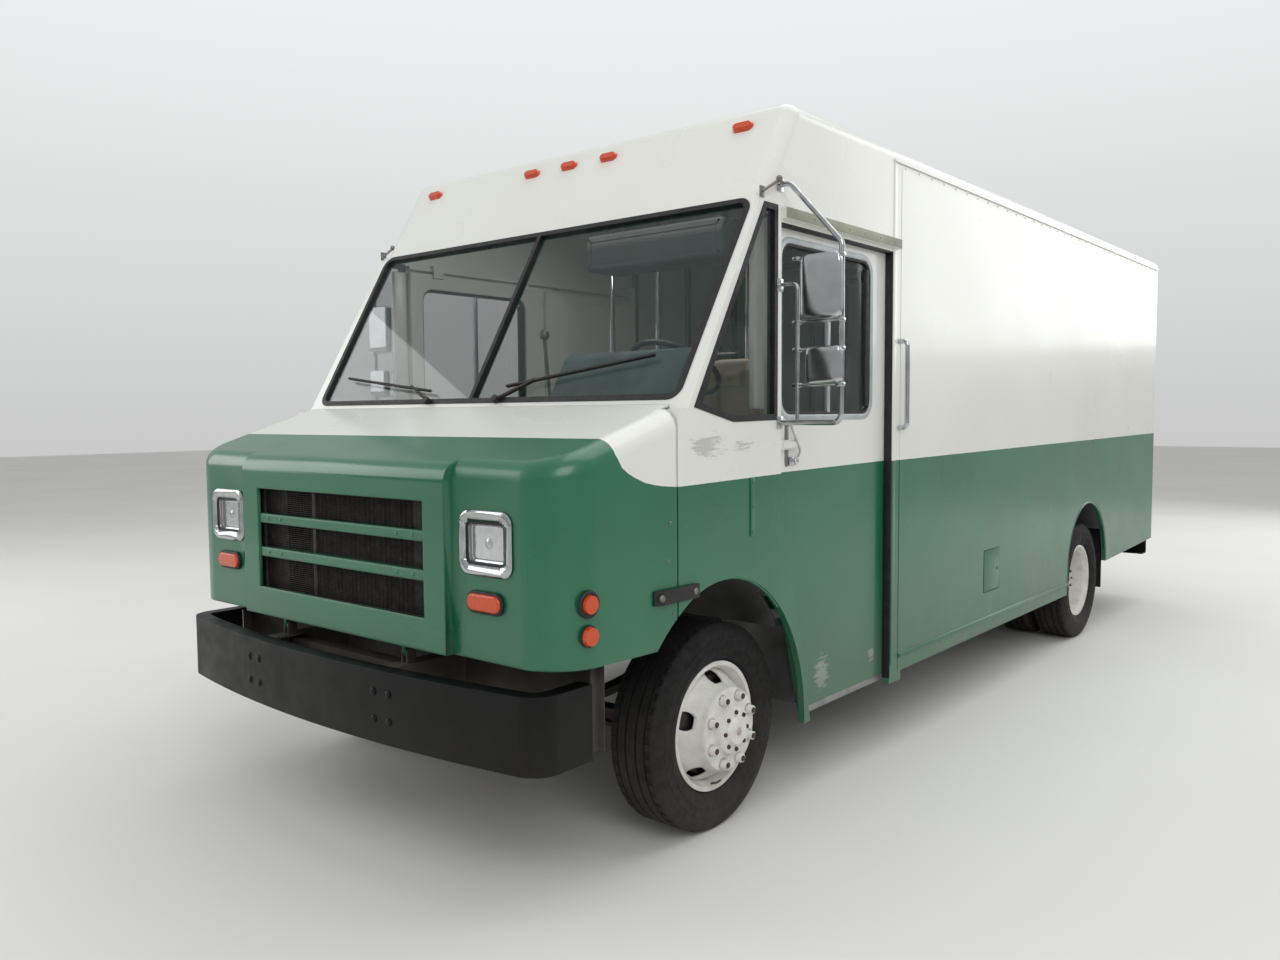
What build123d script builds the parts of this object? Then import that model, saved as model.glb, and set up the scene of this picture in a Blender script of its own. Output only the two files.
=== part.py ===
"""Step van with a tilting nose, sliding cab doors and rear doors. Millimetres, +Z up, front at -Y."""
import os
from math import cos, radians, sin, sqrt, tan

from build123d import *

os.makedirs("parts", exist_ok=True)

# Driving sizes of the whole van
wheelbase = 4520
front_overhang = 1140
rear_overhang = 1950
body_width = 2440
roof_height = 2950
roof_edge_radius = 70
wall = 30
rear_wall = 30
floor_top = 800
floor_thickness = 35
seat_gap = 0.3
running_gap = 8

# Places that follow from them
front_y = -(front_overhang + wheelbase + rear_overhang) / 2
front_axle_y = front_y + front_overhang
rear_axle_y = front_axle_y + wheelbase
side_rear_y = rear_axle_y + 1829
rear_y = rear_axle_y + rear_overhang
half_width = body_width / 2
inside_x = half_width - wall
floor_under = floor_top - floor_thickness
gutter_z = roof_height - roof_edge_radius

# Tyres, rims and hubs
tyre_radius = 419
tyre_width = 248
rim_flange_radius = 261
rim_seat_radius = 246
rim_width = 190
rim_wall = 9
flange_width = 10
front_wheel_x = half_width - 223
rear_outer_x = half_width - 157
dual_spacing = 280
rear_inner_x = rear_outer_x - dual_spacing
lug_circle_radius = 137.5
lug_count = 8
lug_nut_radius = 19
lug_nut_height = 26
hub_radius = 108
disc_thickness = 11
hand_hole_count = 5
hand_hole_radius = 192
front_disc_reach = 72
drum_radius = 198
drum_wall = 14
hub_z = tyre_radius

# Windscreen plane: a lean back from upright, through the foot of the glass
screen_lean = 30
screen_foot_y = front_axle_y - 320
screen_foot_z = 1725
screen_top_z = roof_height - 426
pillar_depth = 30
cap_bottom_z = roof_height - 420
sill_z = 1690
shelf_z = 1630
screen_half_foot = half_width - 60
screen_half_top = half_width - 36
screen_corner_radius = 62
seal_width = 24
seal_thickness = 34
glass_thickness = 6

# Nose that tilts forward
nose_seam_y = front_axle_y - 402
seam_gap = 8
nose_rear_y = nose_seam_y - seam_gap
nose_front_y = front_axle_y - 985
nose_bottom_z = 835
nose_skin = 15
nose_front_half = half_width - 36
nose_corner_radius = 190
nose_edge_radius = 75
nose_taper = (half_width - nose_front_half) / (nose_rear_y - nose_front_y)
nose_top_z = 1695
nose_top_slope = 0.322
nose_tongue_half = half_width - 70
nose_tongue_rear_y = front_axle_y - 360
bulge_half = half_width - 550
bulge_reach = 34
bulge_corner_radius = 28
lip_width = 60
lip_thickness = 10
grille_half = bulge_half - 117
grille_bottom_z = 954
grille_top_z = 1372
grille_bar_height = 38
grille_bar_depth = 30
grille_bar_levels = (1104, 1246)
grille_bar_setback = 18
hood_pin_y = front_axle_y - 975
hood_pin_z = 800
hood_pin_radius = 10
hood_arm_x = 400
hood_arm_width = 19
hood_ear_radius = 20

# Lamps
headlamp_x = half_width - 368
headlamp_z = 1240
headlamp_bezel = (262, 224)
headlamp_lens = (200, 150)
headlamp_corner = 46
turn_lamp_x = half_width - 372
turn_lamp_z = 1038
turn_lamp_size = (165, 60)
side_lamp_y = front_axle_y - 850
side_lamp_levels = (1052, 946)
side_lamp_radius = 34
marker_outer_x = half_width - 217
marker_places = (-marker_outer_x, -253, 0, 253, marker_outer_x)
marker_z = roof_height - 88
marker_size = (100, 45)

# Side openings
arch_y = front_axle_y - 100
arch_z = 360
arch_half = 580
arch_rise = 682
rear_arch_z = 535
rear_arch_radius = 465
belt_z = 1640
door_front_y = front_axle_y + 288
door_rear_y = front_axle_y + 1289
door_top_z = roof_height - 509
door_slant_y = front_axle_y + 359
door_slant_z = 1060
door_knee_z = 1400
door_foot_y = front_axle_y + 530
door_foot_z = 340
door_bottom_z = 356
post_bottom_z = 335
post_rear_y = front_axle_y + 1415
skirt_z = 380
tail_skirt_z = 515
rear_corner_z = 554
quarter_rear_y = front_axle_y + 256
quarter_top_z = door_top_z + 64
quarter_foot_y = front_axle_y - 54
quarter_front_z = 1703

# Sliding door and its pocket
door_thickness = 32
door_overlap = 22
door_travel = 800
door_outer_x = inside_x - running_gap
door_inner_x = door_outer_x - door_thickness
pocket_gap = 10
liner_thickness = 18
liner_outer_x = door_inner_x - pocket_gap
liner_inner_x = liner_outer_x - liner_thickness
pocket_rear_y = door_rear_y + door_overlap + door_travel + running_gap + 12
door_window = (345, 1138, belt_z + 22, door_top_z - 61)  # front and rear from the front axle, foot, head
door_window_radius = 70
track_z = door_top_z + 37
track_height = 22
track_width = 16

# Ladder frame
rail_outer_x = 435
rail_width = 70
rail_top_z = floor_under
rail_height = 165
rail_wall = 8
rail_mid_z = rail_top_z - rail_height / 2
rail_mid_x = rail_outer_x - rail_width / 2
rail_front_y = front_axle_y - 1060
rail_rear_y = rear_axle_y + 1790
spring_x = 400


def screen_y(z):
    """Y of the windscreen plane at height z."""
    return screen_foot_y + (z - screen_foot_z) * tan(radians(screen_lean))


def nose_z(y):
    """Height of the sloped top of the nose at y."""
    return nose_top_z + (y - nose_seam_y) * nose_top_slope


def nose_side_x(y):
    """Half width of the nose's tapered side at y."""
    return half_width + (y - nose_rear_y) * nose_taper


def across(y_far):
    """Plane at y_far whose extrusions run towards -Y, with local axes X and Z."""
    return Plane.XZ.offset(-y_far)


def save(piece, label):
    """Give a finished piece its name and write its STEP file."""
    piece.label = label
    export_step(piece, f"parts/{label}.step")


def save_pair(piece, stem):
    """Write the left piece and its mirror image on the right."""
    save(piece, f"{stem}_left")
    with BuildPart() as other:
        mirror(piece, about=Plane.YZ)
    save(other.part, f"{stem}_right")


# Ladder frame: two channel rails, cross members and the ears of the nose hinge
cross_member_places = (-930, 1000, 1600, 2400, 3300, 4060, 4980, 5900)
cross_member_width = 70
cross_member_height = 120
with BuildPart() as frame:
    for side in (1, -1):
        with BuildSketch(across(rail_rear_y)):
            with Locations((side * rail_mid_x, rail_mid_z)):
                Rectangle(rail_width, rail_height)
            with Locations((side * (rail_mid_x - rail_wall), rail_mid_z)):
                Rectangle(rail_width, rail_height - 2 * rail_wall, mode=Mode.SUBTRACT)
        extrude(amount=rail_rear_y - rail_front_y)
        for ear in (-1, 1):
            ear_x = side * hood_arm_x + ear * (hood_arm_width / 2 + seat_gap + 4)
            with BuildSketch(Plane.YZ.offset(ear_x - 4)):
                with Locations((hood_pin_y, hood_pin_z)):
                    Circle(hood_ear_radius)
                with Locations((hood_pin_y, (rail_top_z + hood_pin_z) / 2)):
                    Rectangle(2 * hood_ear_radius, hood_pin_z - rail_top_z)
            extrude(amount=8)
        with BuildSketch(Plane.YZ.offset(side * hood_arm_x - hood_arm_width)):
            with Locations((hood_pin_y, hood_pin_z)):
                Circle(hood_pin_radius)
        extrude(amount=2 * hood_arm_width)
    for place in cross_member_places:
        with Locations((0, front_axle_y + place, rail_mid_z)):
            Box(2 * (rail_outer_x - rail_wall), cross_member_width, cross_member_height)
save(frame.part, "frame")

# Front bumper: a bowed channel whose ends wrap round the corners
bumper_top_z = 765
bumper_height = 265
bumper_bow_radius = 6200
bumper_half = half_width - 75
bumper_corner_radius = 105
bumper_end_y = front_axle_y - 785
bumper_plate = 8
bumper_flange = 62
bracket_half = 30
bumper_bow = rail_mid_x ** 2 / (2 * bumper_bow_radius)


def bumper_plan(inset):
    """Plan of the bumper's bowed outline, set in by inset, closed along its rear end line."""
    with BuildSketch() as plan:
        with Locations((0, front_y + bumper_bow_radius)):
            Circle(bumper_bow_radius - inset)
        with Locations((0, (front_y + bumper_end_y) / 2)):
            Rectangle(2 * (bumper_half - inset), bumper_end_y - front_y, mode=Mode.INTERSECT)
        fillet(plan.vertices().group_by(Axis.Y)[0], bumper_corner_radius - inset)
    return plan.sketch


bumper_outer = bumper_plan(0)
bumper_inner = bumper_plan(bumper_plate)
bumper_back = bumper_plan(bumper_flange)
bumper_bottom_z = bumper_top_z - bumper_height
with BuildPart() as front_bumper:
    with BuildSketch(Plane.XY.offset(bumper_bottom_z)):
        add(bumper_outer)
        add(bumper_back, mode=Mode.SUBTRACT)
    extrude(amount=bumper_height)
    with BuildSketch(Plane.XY.offset(bumper_bottom_z + bumper_plate)):
        add(bumper_inner)
        add(bumper_back, mode=Mode.SUBTRACT)
    extrude(amount=bumper_height - 2 * bumper_plate, mode=Mode.SUBTRACT)
    for side in (1, -1):
        with BuildSketch(across(rail_front_y)):
            with Locations((side * rail_mid_x, rail_mid_z)):
                Rectangle(2 * bracket_half, rail_height - 4 * rail_wall)
        extrude(amount=rail_front_y - front_y - bumper_bow - bumper_plate / 2)
save(front_bumper.part, "front_bumper")

# Rear bumper: a step bumper on the ends of the rails
rear_bumper_half = half_width - 60
rear_bumper_top_z = 548
rear_bumper_height = 140
rear_bumper_depth = 121
rear_bumper_plate = 8
rear_bracket_length = 260
rear_bumper_mid = (rear_y - rear_bumper_depth / 2, rear_bumper_top_z - rear_bumper_height / 2)
rear_bumper_low_z = rear_bumper_top_z - rear_bumper_height + rear_bumper_plate / 2
with BuildPart() as rear_bumper:
    with BuildSketch(Plane.YZ.offset(-rear_bumper_half)):
        with Locations(rear_bumper_mid):
            Rectangle(rear_bumper_depth, rear_bumper_height)
        with Locations((rear_bumper_mid[0] - rear_bumper_plate, rear_bumper_mid[1])):
            Rectangle(rear_bumper_depth, rear_bumper_height - 2 * rear_bumper_plate, mode=Mode.SUBTRACT)
    extrude(amount=2 * rear_bumper_half)
    for side in (1, -1):
        with BuildSketch(Plane.YZ.offset(side * rail_mid_x - rail_width / 2)):
            with BuildLine():
                Polyline(
                    (rail_rear_y - rear_bracket_length, rail_top_z - rail_height),
                    (rail_rear_y, rail_top_z - rail_height),
                    (rear_y - rear_bumper_depth, rear_bumper_top_z),
                    (rear_y - rear_bumper_plate / 2, rear_bumper_top_z - rear_bumper_plate / 2),
                    (rear_y - rear_bumper_plate / 2, rear_bumper_low_z),
                    (rear_y - rear_bumper_depth, rear_bumper_low_z),
                    close=True,
                )
            make_face()
        extrude(amount=rail_width)
save(rear_bumper.part, "rear_bumper")

# Front axle: a dropped I-beam with kingpins in its end eyes
kingpin_x = front_wheel_x - 117
kingpin_radius = 17
eye_radius = 34
eye_height = 90
yoke_thickness = 28
yoke_gap = 2
beam_drop_z = hub_z - 60
beam_height = 80
beam_width = 70
beam_web = 22
beam_flange = 18
spring_pad_z = beam_drop_z + beam_height / 2
beam_bend_x = 560
beam_trim = 40
with BuildPart() as front_axle:
    with BuildSketch(Plane.XZ.offset(-(front_axle_y + beam_width / 2))):
        with BuildLine():
            Polyline(
                (-kingpin_x, hub_z - beam_height / 2),
                (-beam_bend_x, beam_drop_z - beam_height / 2),
                (beam_bend_x, beam_drop_z - beam_height / 2),
                (kingpin_x, hub_z - beam_height / 2),
                (kingpin_x, hub_z + beam_height / 2),
                (beam_bend_x, beam_drop_z + beam_height / 2),
                (-beam_bend_x, beam_drop_z + beam_height / 2),
                (-kingpin_x, hub_z + beam_height / 2),
                close=True,
            )
        make_face()
    extrude(amount=beam_width)
    for side in (1, -1):
        groove_y = front_axle_y + side * (beam_web / 2 + (beam_width - beam_web) / 4)
        with BuildSketch(Plane.XZ.offset(-(groove_y + (beam_width - beam_web) / 4))):
            with BuildLine():
                Polyline(
                    (-kingpin_x + 60, hub_z - beam_height / 2 + beam_flange - 8),
                    (-beam_bend_x, beam_drop_z - beam_height / 2 + beam_flange),
                    (beam_bend_x, beam_drop_z - beam_height / 2 + beam_flange),
                    (kingpin_x - 60, hub_z - beam_height / 2 + beam_flange - 8),
                    (kingpin_x - 60, hub_z + beam_height / 2 - beam_flange - 8),
                    (beam_bend_x, beam_drop_z + beam_height / 2 - beam_flange),
                    (-beam_bend_x, beam_drop_z + beam_height / 2 - beam_flange),
                    (-kingpin_x + 60, hub_z + beam_height / 2 - beam_flange - 8),
                    close=True,
                )
            make_face()
        extrude(amount=(beam_width - beam_web) / 2, mode=Mode.SUBTRACT)
    for side in (1, -1):
        with Locations((side * kingpin_x, front_axle_y, hub_z)):
            Cylinder(eye_radius, eye_height)
            Cylinder(kingpin_radius, eye_height + 2 * (yoke_gap + yoke_thickness))
    beam_trim_x = kingpin_x + eye_radius + beam_trim / 2
    with Locations((beam_trim_x, front_axle_y, hub_z), (-beam_trim_x, front_axle_y, hub_z)):
        Box(beam_trim, beam_width + 10, beam_height + 20, mode=Mode.SUBTRACT)
save(front_axle.part, "front_axle")

# Steering knuckle: a forked yoke on the kingpin, the wheel spindle, the brake backing plate and the arm
spindle_radius = 28
spindle_end_x = front_wheel_x + 125
yoke_block_x = kingpin_x + eye_radius + 6
yoke_block = 26
backing_plate_radius = 188
backing_plate = 6
arm_reach = 170
arm_width = 30
arm_z = hub_z - 82
arm_height = 22
ball_radius = 9
rod_radius = 15
yoke_half = yoke_gap + yoke_thickness + eye_height / 2
with BuildPart() as knuckle:
    with BuildSketch(Plane.XY.offset(hub_z - yoke_half)) as yoke_plan:
        with Locations((kingpin_x, front_axle_y)):
            Circle(eye_radius - 2)
        with Locations(((kingpin_x + yoke_block_x + yoke_block) / 2, front_axle_y)):
            Rectangle(yoke_block_x + yoke_block - kingpin_x, 2 * (eye_radius - 2))
    extrude(amount=2 * yoke_half)
    with BuildSketch(Plane.XY.offset(hub_z - eye_height / 2 - yoke_gap)):
        with Locations((kingpin_x, front_axle_y)):
            Rectangle(2 * (yoke_block_x - kingpin_x), 4 * eye_radius)
    extrude(amount=eye_height + 2 * yoke_gap, mode=Mode.SUBTRACT)
    with Locations((kingpin_x, front_axle_y, hub_z)):
        Cylinder(kingpin_radius + seat_gap, 3 * yoke_half, mode=Mode.SUBTRACT)
    with BuildSketch(Plane.YZ.offset(yoke_block_x + yoke_block - 1)):
        with Locations((front_axle_y, hub_z)):
            Circle(spindle_radius)
    extrude(amount=spindle_end_x - yoke_block_x - yoke_block + 1)
    with BuildSketch(Plane.YZ.offset(yoke_block_x + yoke_block)):
        with Locations((front_axle_y, hub_z)):
            Circle(backing_plate_radius)
    extrude(amount=backing_plate)
    with BuildSketch(Plane.XY.offset(arm_z - arm_height / 2)):
        with BuildLine():
            Polyline(
                (kingpin_x - arm_width / 2, front_axle_y + arm_reach),
                (kingpin_x - arm_width / 2, front_axle_y + eye_radius + 14),
                (yoke_block_x, front_axle_y),
                (yoke_block_x + yoke_block, front_axle_y),
                (yoke_block_x + yoke_block, front_axle_y + 25),
                (kingpin_x + arm_width / 2, front_axle_y + eye_radius + 50),
                (kingpin_x + arm_width / 2, front_axle_y + arm_reach),
                close=True,
            )
        make_face()
        with Locations((kingpin_x, front_axle_y + arm_reach)):
            Circle(arm_width / 2 + 4)
    extrude(amount=arm_height)
    with Locations((kingpin_x, front_axle_y + arm_reach, arm_z - arm_height / 2 - rod_radius - 12)):
        Cylinder(ball_radius, 2 * rod_radius + 24 + 2)
save_pair(knuckle.part, "knuckle")

# Tie rod: a bar below the steering arms with an eye round each ball pin
rod_z = arm_z - arm_height / 2 - rod_radius - 8
with BuildPart() as tie_rod:
    with BuildSketch(Plane.YZ.offset(-kingpin_x)):
        with Locations((front_axle_y + arm_reach, rod_z)):
            Circle(rod_radius - 1)
    extrude(amount=2 * kingpin_x)
    for side in (1, -1):
        with Locations((side * kingpin_x, front_axle_y + arm_reach, rod_z)):
            Cylinder(ball_radius + 13, 2 * rod_radius)
    for side in (1, -1):
        with Locations((side * kingpin_x, front_axle_y + arm_reach, rod_z)):
            Cylinder(ball_radius + seat_gap, 4 * rod_radius, mode=Mode.SUBTRACT)
save(tie_rod.part, "tie_rod")

# Leaf springs: bowed packs under the rails, with hangers at their eyes
leaf_width = 64
leaf_thickness = 12
leaf_table = (  # share of the half length, layer below the main leaf
    (1.0, 0),
    (0.74, 1),
    (0.48, 2),
)
spring_eye_radius = 26
hanger_plate = 10


def leaf_pack(centre_y, seat_z, half_length, rise):
    """A leaf pack on the left whose lowest leaf rests at seat_z, with its hangers up to the rail."""
    bow = (half_length ** 2 + rise ** 2) / (2 * rise)
    layers = len(leaf_table)
    with BuildPart() as pack:
        for share, layer in leaf_table:
            inner = bow - (layers - layer) * leaf_thickness
            outer = inner + leaf_thickness
            with BuildSketch(Plane.YZ.offset(spring_x - leaf_width / 2)):
                with Locations((centre_y, seat_z + bow)):
                    Circle(outer)
                    Circle(inner, mode=Mode.SUBTRACT)
                with Locations((centre_y, seat_z)):
                    Rectangle(2 * half_length * share, 4 * rise, mode=Mode.INTERSECT)
            extrude(amount=leaf_width)
        eye_z = seat_z + rise + layers * leaf_thickness
        for end in (-1, 1):
            eye_y = centre_y + end * half_length
            with BuildSketch(Plane.YZ.offset(spring_x - leaf_width / 2)):
                with Locations((eye_y, eye_z)):
                    Circle(spring_eye_radius)
            extrude(amount=leaf_width)
            for face in (-1, 1):
                plate_x = spring_x + face * (leaf_width + hanger_plate) / 2 - hanger_plate / 2
                with BuildSketch(Plane.YZ.offset(plate_x)):
                    with Locations((eye_y, (rail_top_z - rail_height + eye_z) / 2)):
                        Rectangle(2 * spring_eye_radius, rail_top_z - rail_height - eye_z)
                    with Locations((eye_y, eye_z)):
                        Circle(spring_eye_radius)
                extrude(amount=hanger_plate)
        with Locations((spring_x, centre_y, seat_z + (layers + 0.5) * leaf_thickness)):
            Box(leaf_width + 16, 110, leaf_thickness + 6)
        return pack.part


front_spring_half = 560
front_spring_rise = 96
rear_spring_half = 640
rear_spring_rise = 46
rear_axle_tube_radius = 58
rear_seat_z = hub_z + rear_axle_tube_radius
front_pack = leaf_pack(front_axle_y, spring_pad_z, front_spring_half, front_spring_rise)
rear_pack = leaf_pack(rear_axle_y, rear_seat_z, rear_spring_half, rear_spring_rise)
with BuildPart() as leaf_springs:
    for pack in (front_pack, rear_pack):
        add(pack)
        mirror(pack, about=Plane.YZ)
save(leaf_springs.part, "leaf_springs")

# Rear axle: tube, differential housing and spring seats
diff_radius = 175
diff_width = 150
rear_tube_end_x = rear_outer_x - 63
stub_radius = 45
housing_half = 640
with BuildPart() as rear_axle:
    with BuildSketch(Plane.YZ.offset(-rear_tube_end_x)):
        with Locations((rear_axle_y, hub_z)):
            Circle(stub_radius)
    extrude(amount=2 * rear_tube_end_x)
    with BuildSketch(Plane.YZ.offset(-housing_half)):
        with Locations((rear_axle_y, hub_z)):
            Circle(rear_axle_tube_radius)
    extrude(amount=2 * housing_half)
    with BuildSketch(Plane.YZ.offset(-diff_width / 2)):
        with Locations((rear_axle_y, hub_z)):
            Circle(diff_radius)
    extrude(amount=diff_width, taper=0)
    with BuildSketch(across(rear_axle_y)):
        with Locations((0, hub_z)):
            Circle(90)
    extrude(amount=diff_radius + 90, taper=6)
    for side in (1, -1):
        with Locations((side * spring_x, rear_axle_y, rear_seat_z - 15)):
            Box(leaf_width + 16, 100, 30)
save(rear_axle.part, "rear_axle")

# Engine and gearbox as one plain block, at their real size and place
engine_half = 290
engine_front_y = front_axle_y - 640
engine_length = 860
engine_bottom_z = 510
engine_top_z = 1240
gearbox_length = 620
gearbox_radius = 150
gearbox_z = 565
with BuildPart() as engine:
    with Locations((0, engine_front_y + engine_length / 2, (engine_bottom_z + engine_top_z) / 2)):
        Box(2 * engine_half, engine_length, engine_top_z - engine_bottom_z)
    with BuildSketch(across(engine_front_y + engine_length + gearbox_length)):
        with Locations((0, gearbox_z)):
            Circle(gearbox_radius * 0.7)
    extrude(amount=gearbox_length, taper=-3)
save(engine.part, "engine")
gearbox_rear_y = engine_front_y + engine_length + gearbox_length

# Radiator behind the grille, on a tray of the front cross member
radiator_y = front_axle_y - 800
radiator_depth = 70
radiator_half = 420
radiator_bottom_z = rail_top_z
radiator_top_z = 1420
with BuildPart() as radiator:
    with Locations((0, radiator_y, (radiator_bottom_z + radiator_top_z) / 2)):
        Box(2 * radiator_half, radiator_depth, radiator_top_z - radiator_bottom_z)
    with Locations((0, radiator_y - radiator_depth / 2 - 5, (radiator_bottom_z + radiator_top_z) / 2)):
        with GridLocations(34, 0, 22, 1):
            Box(6, 10, radiator_top_z - radiator_bottom_z - 120)
    with Locations((0, radiator_y, radiator_top_z + 12)):
        Cylinder(32, 24)
save(radiator.part, "radiator")

# Drive shaft from gearbox to axle, with a centre bearing under a cross member
shaft_radius = 44
bearing_y = front_axle_y + cross_member_places[3]
bearing_z = 560
yoke_flange = Vector(0, 18, 0)
cross_member_bottom_z = rail_top_z - rail_height / 2 - cross_member_height / 2
shaft_front = Vector(0, gearbox_rear_y + seat_gap, gearbox_z)
shaft_mid = Vector(0, bearing_y, bearing_z)
shaft_rear = Vector(0, rear_axle_y - diff_radius - 90 - seat_gap, hub_z)
with BuildPart() as drive_shaft:
    for start, end in ((shaft_front + yoke_flange, shaft_mid), (shaft_mid, shaft_rear - yoke_flange)):
        run = end - start
        with BuildSketch(Plane(origin=start, z_dir=run)):
            Circle(shaft_radius)
        extrude(amount=run.length)
    for end in (shaft_front + yoke_flange, shaft_rear):
        with BuildSketch(Plane(origin=end, z_dir=(0, -1, 0))):
            Circle(shaft_radius + 14)
        extrude(amount=yoke_flange.Y)
    with Locations((0, bearing_y, (bearing_z + cross_member_bottom_z) / 2)):
        Box(150, 60, cross_member_bottom_z - bearing_z)
save(drive_shaft.part, "drive_shaft")

# Fuel tank on the left, slung from the rail
tank_length = 1000
tank_front_y = rear_axle_y - 1270 - tank_length
tank_inner_x = rail_outer_x + seat_gap
tank_outer_x = half_width - 130
tank_top_z = 740
tank_height = 330
with BuildPart() as fuel_tank:
    with BuildSketch(across(tank_front_y + tank_length)):
        with Locations(((tank_inner_x + 60 + tank_outer_x) / 2, tank_top_z - tank_height / 2)):
            RectangleRounded(tank_outer_x - tank_inner_x - 60, tank_height, 70)
    extrude(amount=tank_length)
    for share in (0.2, 0.8):
        with Locations((tank_inner_x + 60, tank_front_y + share * tank_length, tank_top_z - 60)):
            Box(120, 60, 80)
        with BuildSketch(across(tank_front_y + share * tank_length + 25)):
            with Locations(((tank_inner_x + 60 + tank_outer_x) / 2, tank_top_z - tank_height / 2)):
                RectangleRounded(tank_outer_x - tank_inner_x - 48, tank_height + 12, 76)
        extrude(amount=50)
save(fuel_tank.part, "fuel_tank")

# Exhaust on the right: down pipe, silencer and a tail pipe that turns out ahead of the rear wheel
pipe_radius = 38
silencer_radius = 110
exhaust_z = 520
exhaust_x = -600
manifold_z = 556
silencer_front_y = front_axle_y + 1900
silencer_length = 800
tail_turn_y = rear_axle_y - 640
hanger_z = rail_top_z - rail_height + 40
with BuildPart() as exhaust:
    with BuildLine() as pipe_path:
        FilletPolyline(
            (-engine_half - seat_gap, front_axle_y + 60, manifold_z),
            (-540, front_axle_y + 60, manifold_z),
            (exhaust_x, front_axle_y + 700, exhaust_z),
            (exhaust_x, tail_turn_y, exhaust_z),
            (55 - half_width, tail_turn_y + 60, exhaust_z - 40),
            radius=70,
        )
    with BuildSketch(Plane(origin=pipe_path.line @ 0, z_dir=pipe_path.line % 0)):
        Circle(pipe_radius)
    sweep()
    with BuildSketch(across(silencer_front_y + silencer_length)):
        with Locations((exhaust_x, exhaust_z)):
            Circle(silencer_radius)
    extrude(amount=silencer_length)
    for share in (0.12, 0.88):
        hanger_y = silencer_front_y + share * silencer_length
        with Locations(((exhaust_x - rail_outer_x) / 2, hanger_y, hanger_z)):
            Box(-exhaust_x - rail_outer_x, 30, 60)
save(exhaust.part, "exhaust")

# Cab floor and cargo floor: one deck with step wells, arched wheel houses and the sills on the rails
deck_front_y = front_axle_y - 372
step_inner_x = half_width - 460
step_front_y = front_axle_y + 532
step_mid_y = (step_front_y + door_rear_y) / 2
step_z = 400
step_plate = 14
riser_x = step_inner_x - step_plate
house_gap = 8
house_wall = 12
front_house_inner_x = front_wheel_x - 397
rear_house_inner_x = rear_inner_x - 165
tunnel_half = 355
tunnel_rear_y = front_axle_y + 560
deck_plate = 4
plate_margin = 20
plate_front_y = pocket_rear_y + 60
plate_rear_y = side_rear_y - plate_margin
with BuildPart() as floor:
    with BuildSketch(Plane.XY.offset(floor_under)):
        with Locations((0, (deck_front_y + rear_y) / 2)):
            Rectangle(2 * inside_x, rear_y - deck_front_y)
        with Locations((0, (rear_y - 150 + rear_y) / 2)):
            Rectangle(3 * inside_x, 150, mode=Mode.SUBTRACT)
        with Locations((0, (deck_front_y + tunnel_rear_y) / 2)):
            Rectangle(2 * tunnel_half, tunnel_rear_y - deck_front_y, mode=Mode.SUBTRACT)
        for side in (1, -1):
            with Locations((side * (step_inner_x + inside_x) / 2, step_mid_y)):
                Rectangle(inside_x - step_inner_x, door_rear_y - step_front_y, mode=Mode.SUBTRACT)
            with Locations((side * (liner_inner_x + 200), (door_rear_y + pocket_rear_y) / 2)):
                Rectangle(400, pocket_rear_y - door_rear_y, mode=Mode.SUBTRACT)
    extrude(amount=floor_thickness)
    for side in (1, -1):
        with Locations((side * (step_inner_x - step_plate / 2), step_mid_y, (step_z + floor_top) / 2)):
            Box(step_plate, door_rear_y - step_front_y, floor_top - step_z)
        with Locations((side * (riser_x + liner_outer_x) / 2, step_mid_y, step_z + step_plate / 2)):
            Box(liner_outer_x - riser_x, door_rear_y - step_front_y, step_plate)
        for end_y in (step_front_y + step_plate / 2, door_rear_y - step_plate / 2):
            with Locations((side * (riser_x + liner_outer_x) / 2, end_y, (step_z + floor_top) / 2)):
                Box(liner_outer_x - riser_x, step_plate, floor_top - step_z)
    front_house = (arch_y, arch_z, arch_half, arch_rise, front_house_inner_x, deck_front_y, step_front_y)
    arc = rear_arch_radius
    rear_house = (rear_axle_y, rear_arch_z, arc, arc, rear_house_inner_x, door_rear_y, rear_y)
    house_table = (front_house, rear_house)  # centre y, z, half length, rise, inner x, front and rear ends
    for centre_y, centre_z, half_length, rise, inner_x, low_y, high_y in house_table:
        for side in (1, -1):
            house_width = inside_x - inner_x
            with BuildSketch(Plane.YZ.offset(inner_x if side > 0 else -inside_x)):
                with Locations((centre_y, centre_z)):
                    Ellipse(half_length + house_gap + house_wall, rise + house_gap + house_wall)
                with Locations(((low_y + high_y) / 2, floor_under + rise)):
                    Rectangle(high_y - low_y, 2 * rise, mode=Mode.INTERSECT)
            extrude(amount=house_width)
        for side in (1, -1):
            hollow_x = inner_x + house_wall if side > 0 else -inside_x - house_wall
            with BuildSketch(Plane.YZ.offset(hollow_x)):
                with Locations((centre_y, centre_z)):
                    Ellipse(half_length + house_gap, rise + house_gap)
            extrude(amount=house_width, mode=Mode.SUBTRACT)
    # Deck plate of the cargo space between the wheel houses
    with Locations((0, (plate_front_y + plate_rear_y) / 2, floor_top + deck_plate / 2)):
        Box(2 * (rear_house_inner_x - plate_margin), plate_rear_y - plate_front_y, deck_plate)
    # Slots beside the deck in which the sliding doors run
    slot_low = door_front_y - 2 * door_overlap
    for side in (1, -1):
        with Locations((side * (liner_outer_x + inside_x) / 2, (slot_low + door_rear_y) / 2, floor_top)):
            Box(inside_x - liner_outer_x, door_rear_y - slot_low, 2 * step_z, mode=Mode.SUBTRACT)
save(floor.part, "floor")

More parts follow.
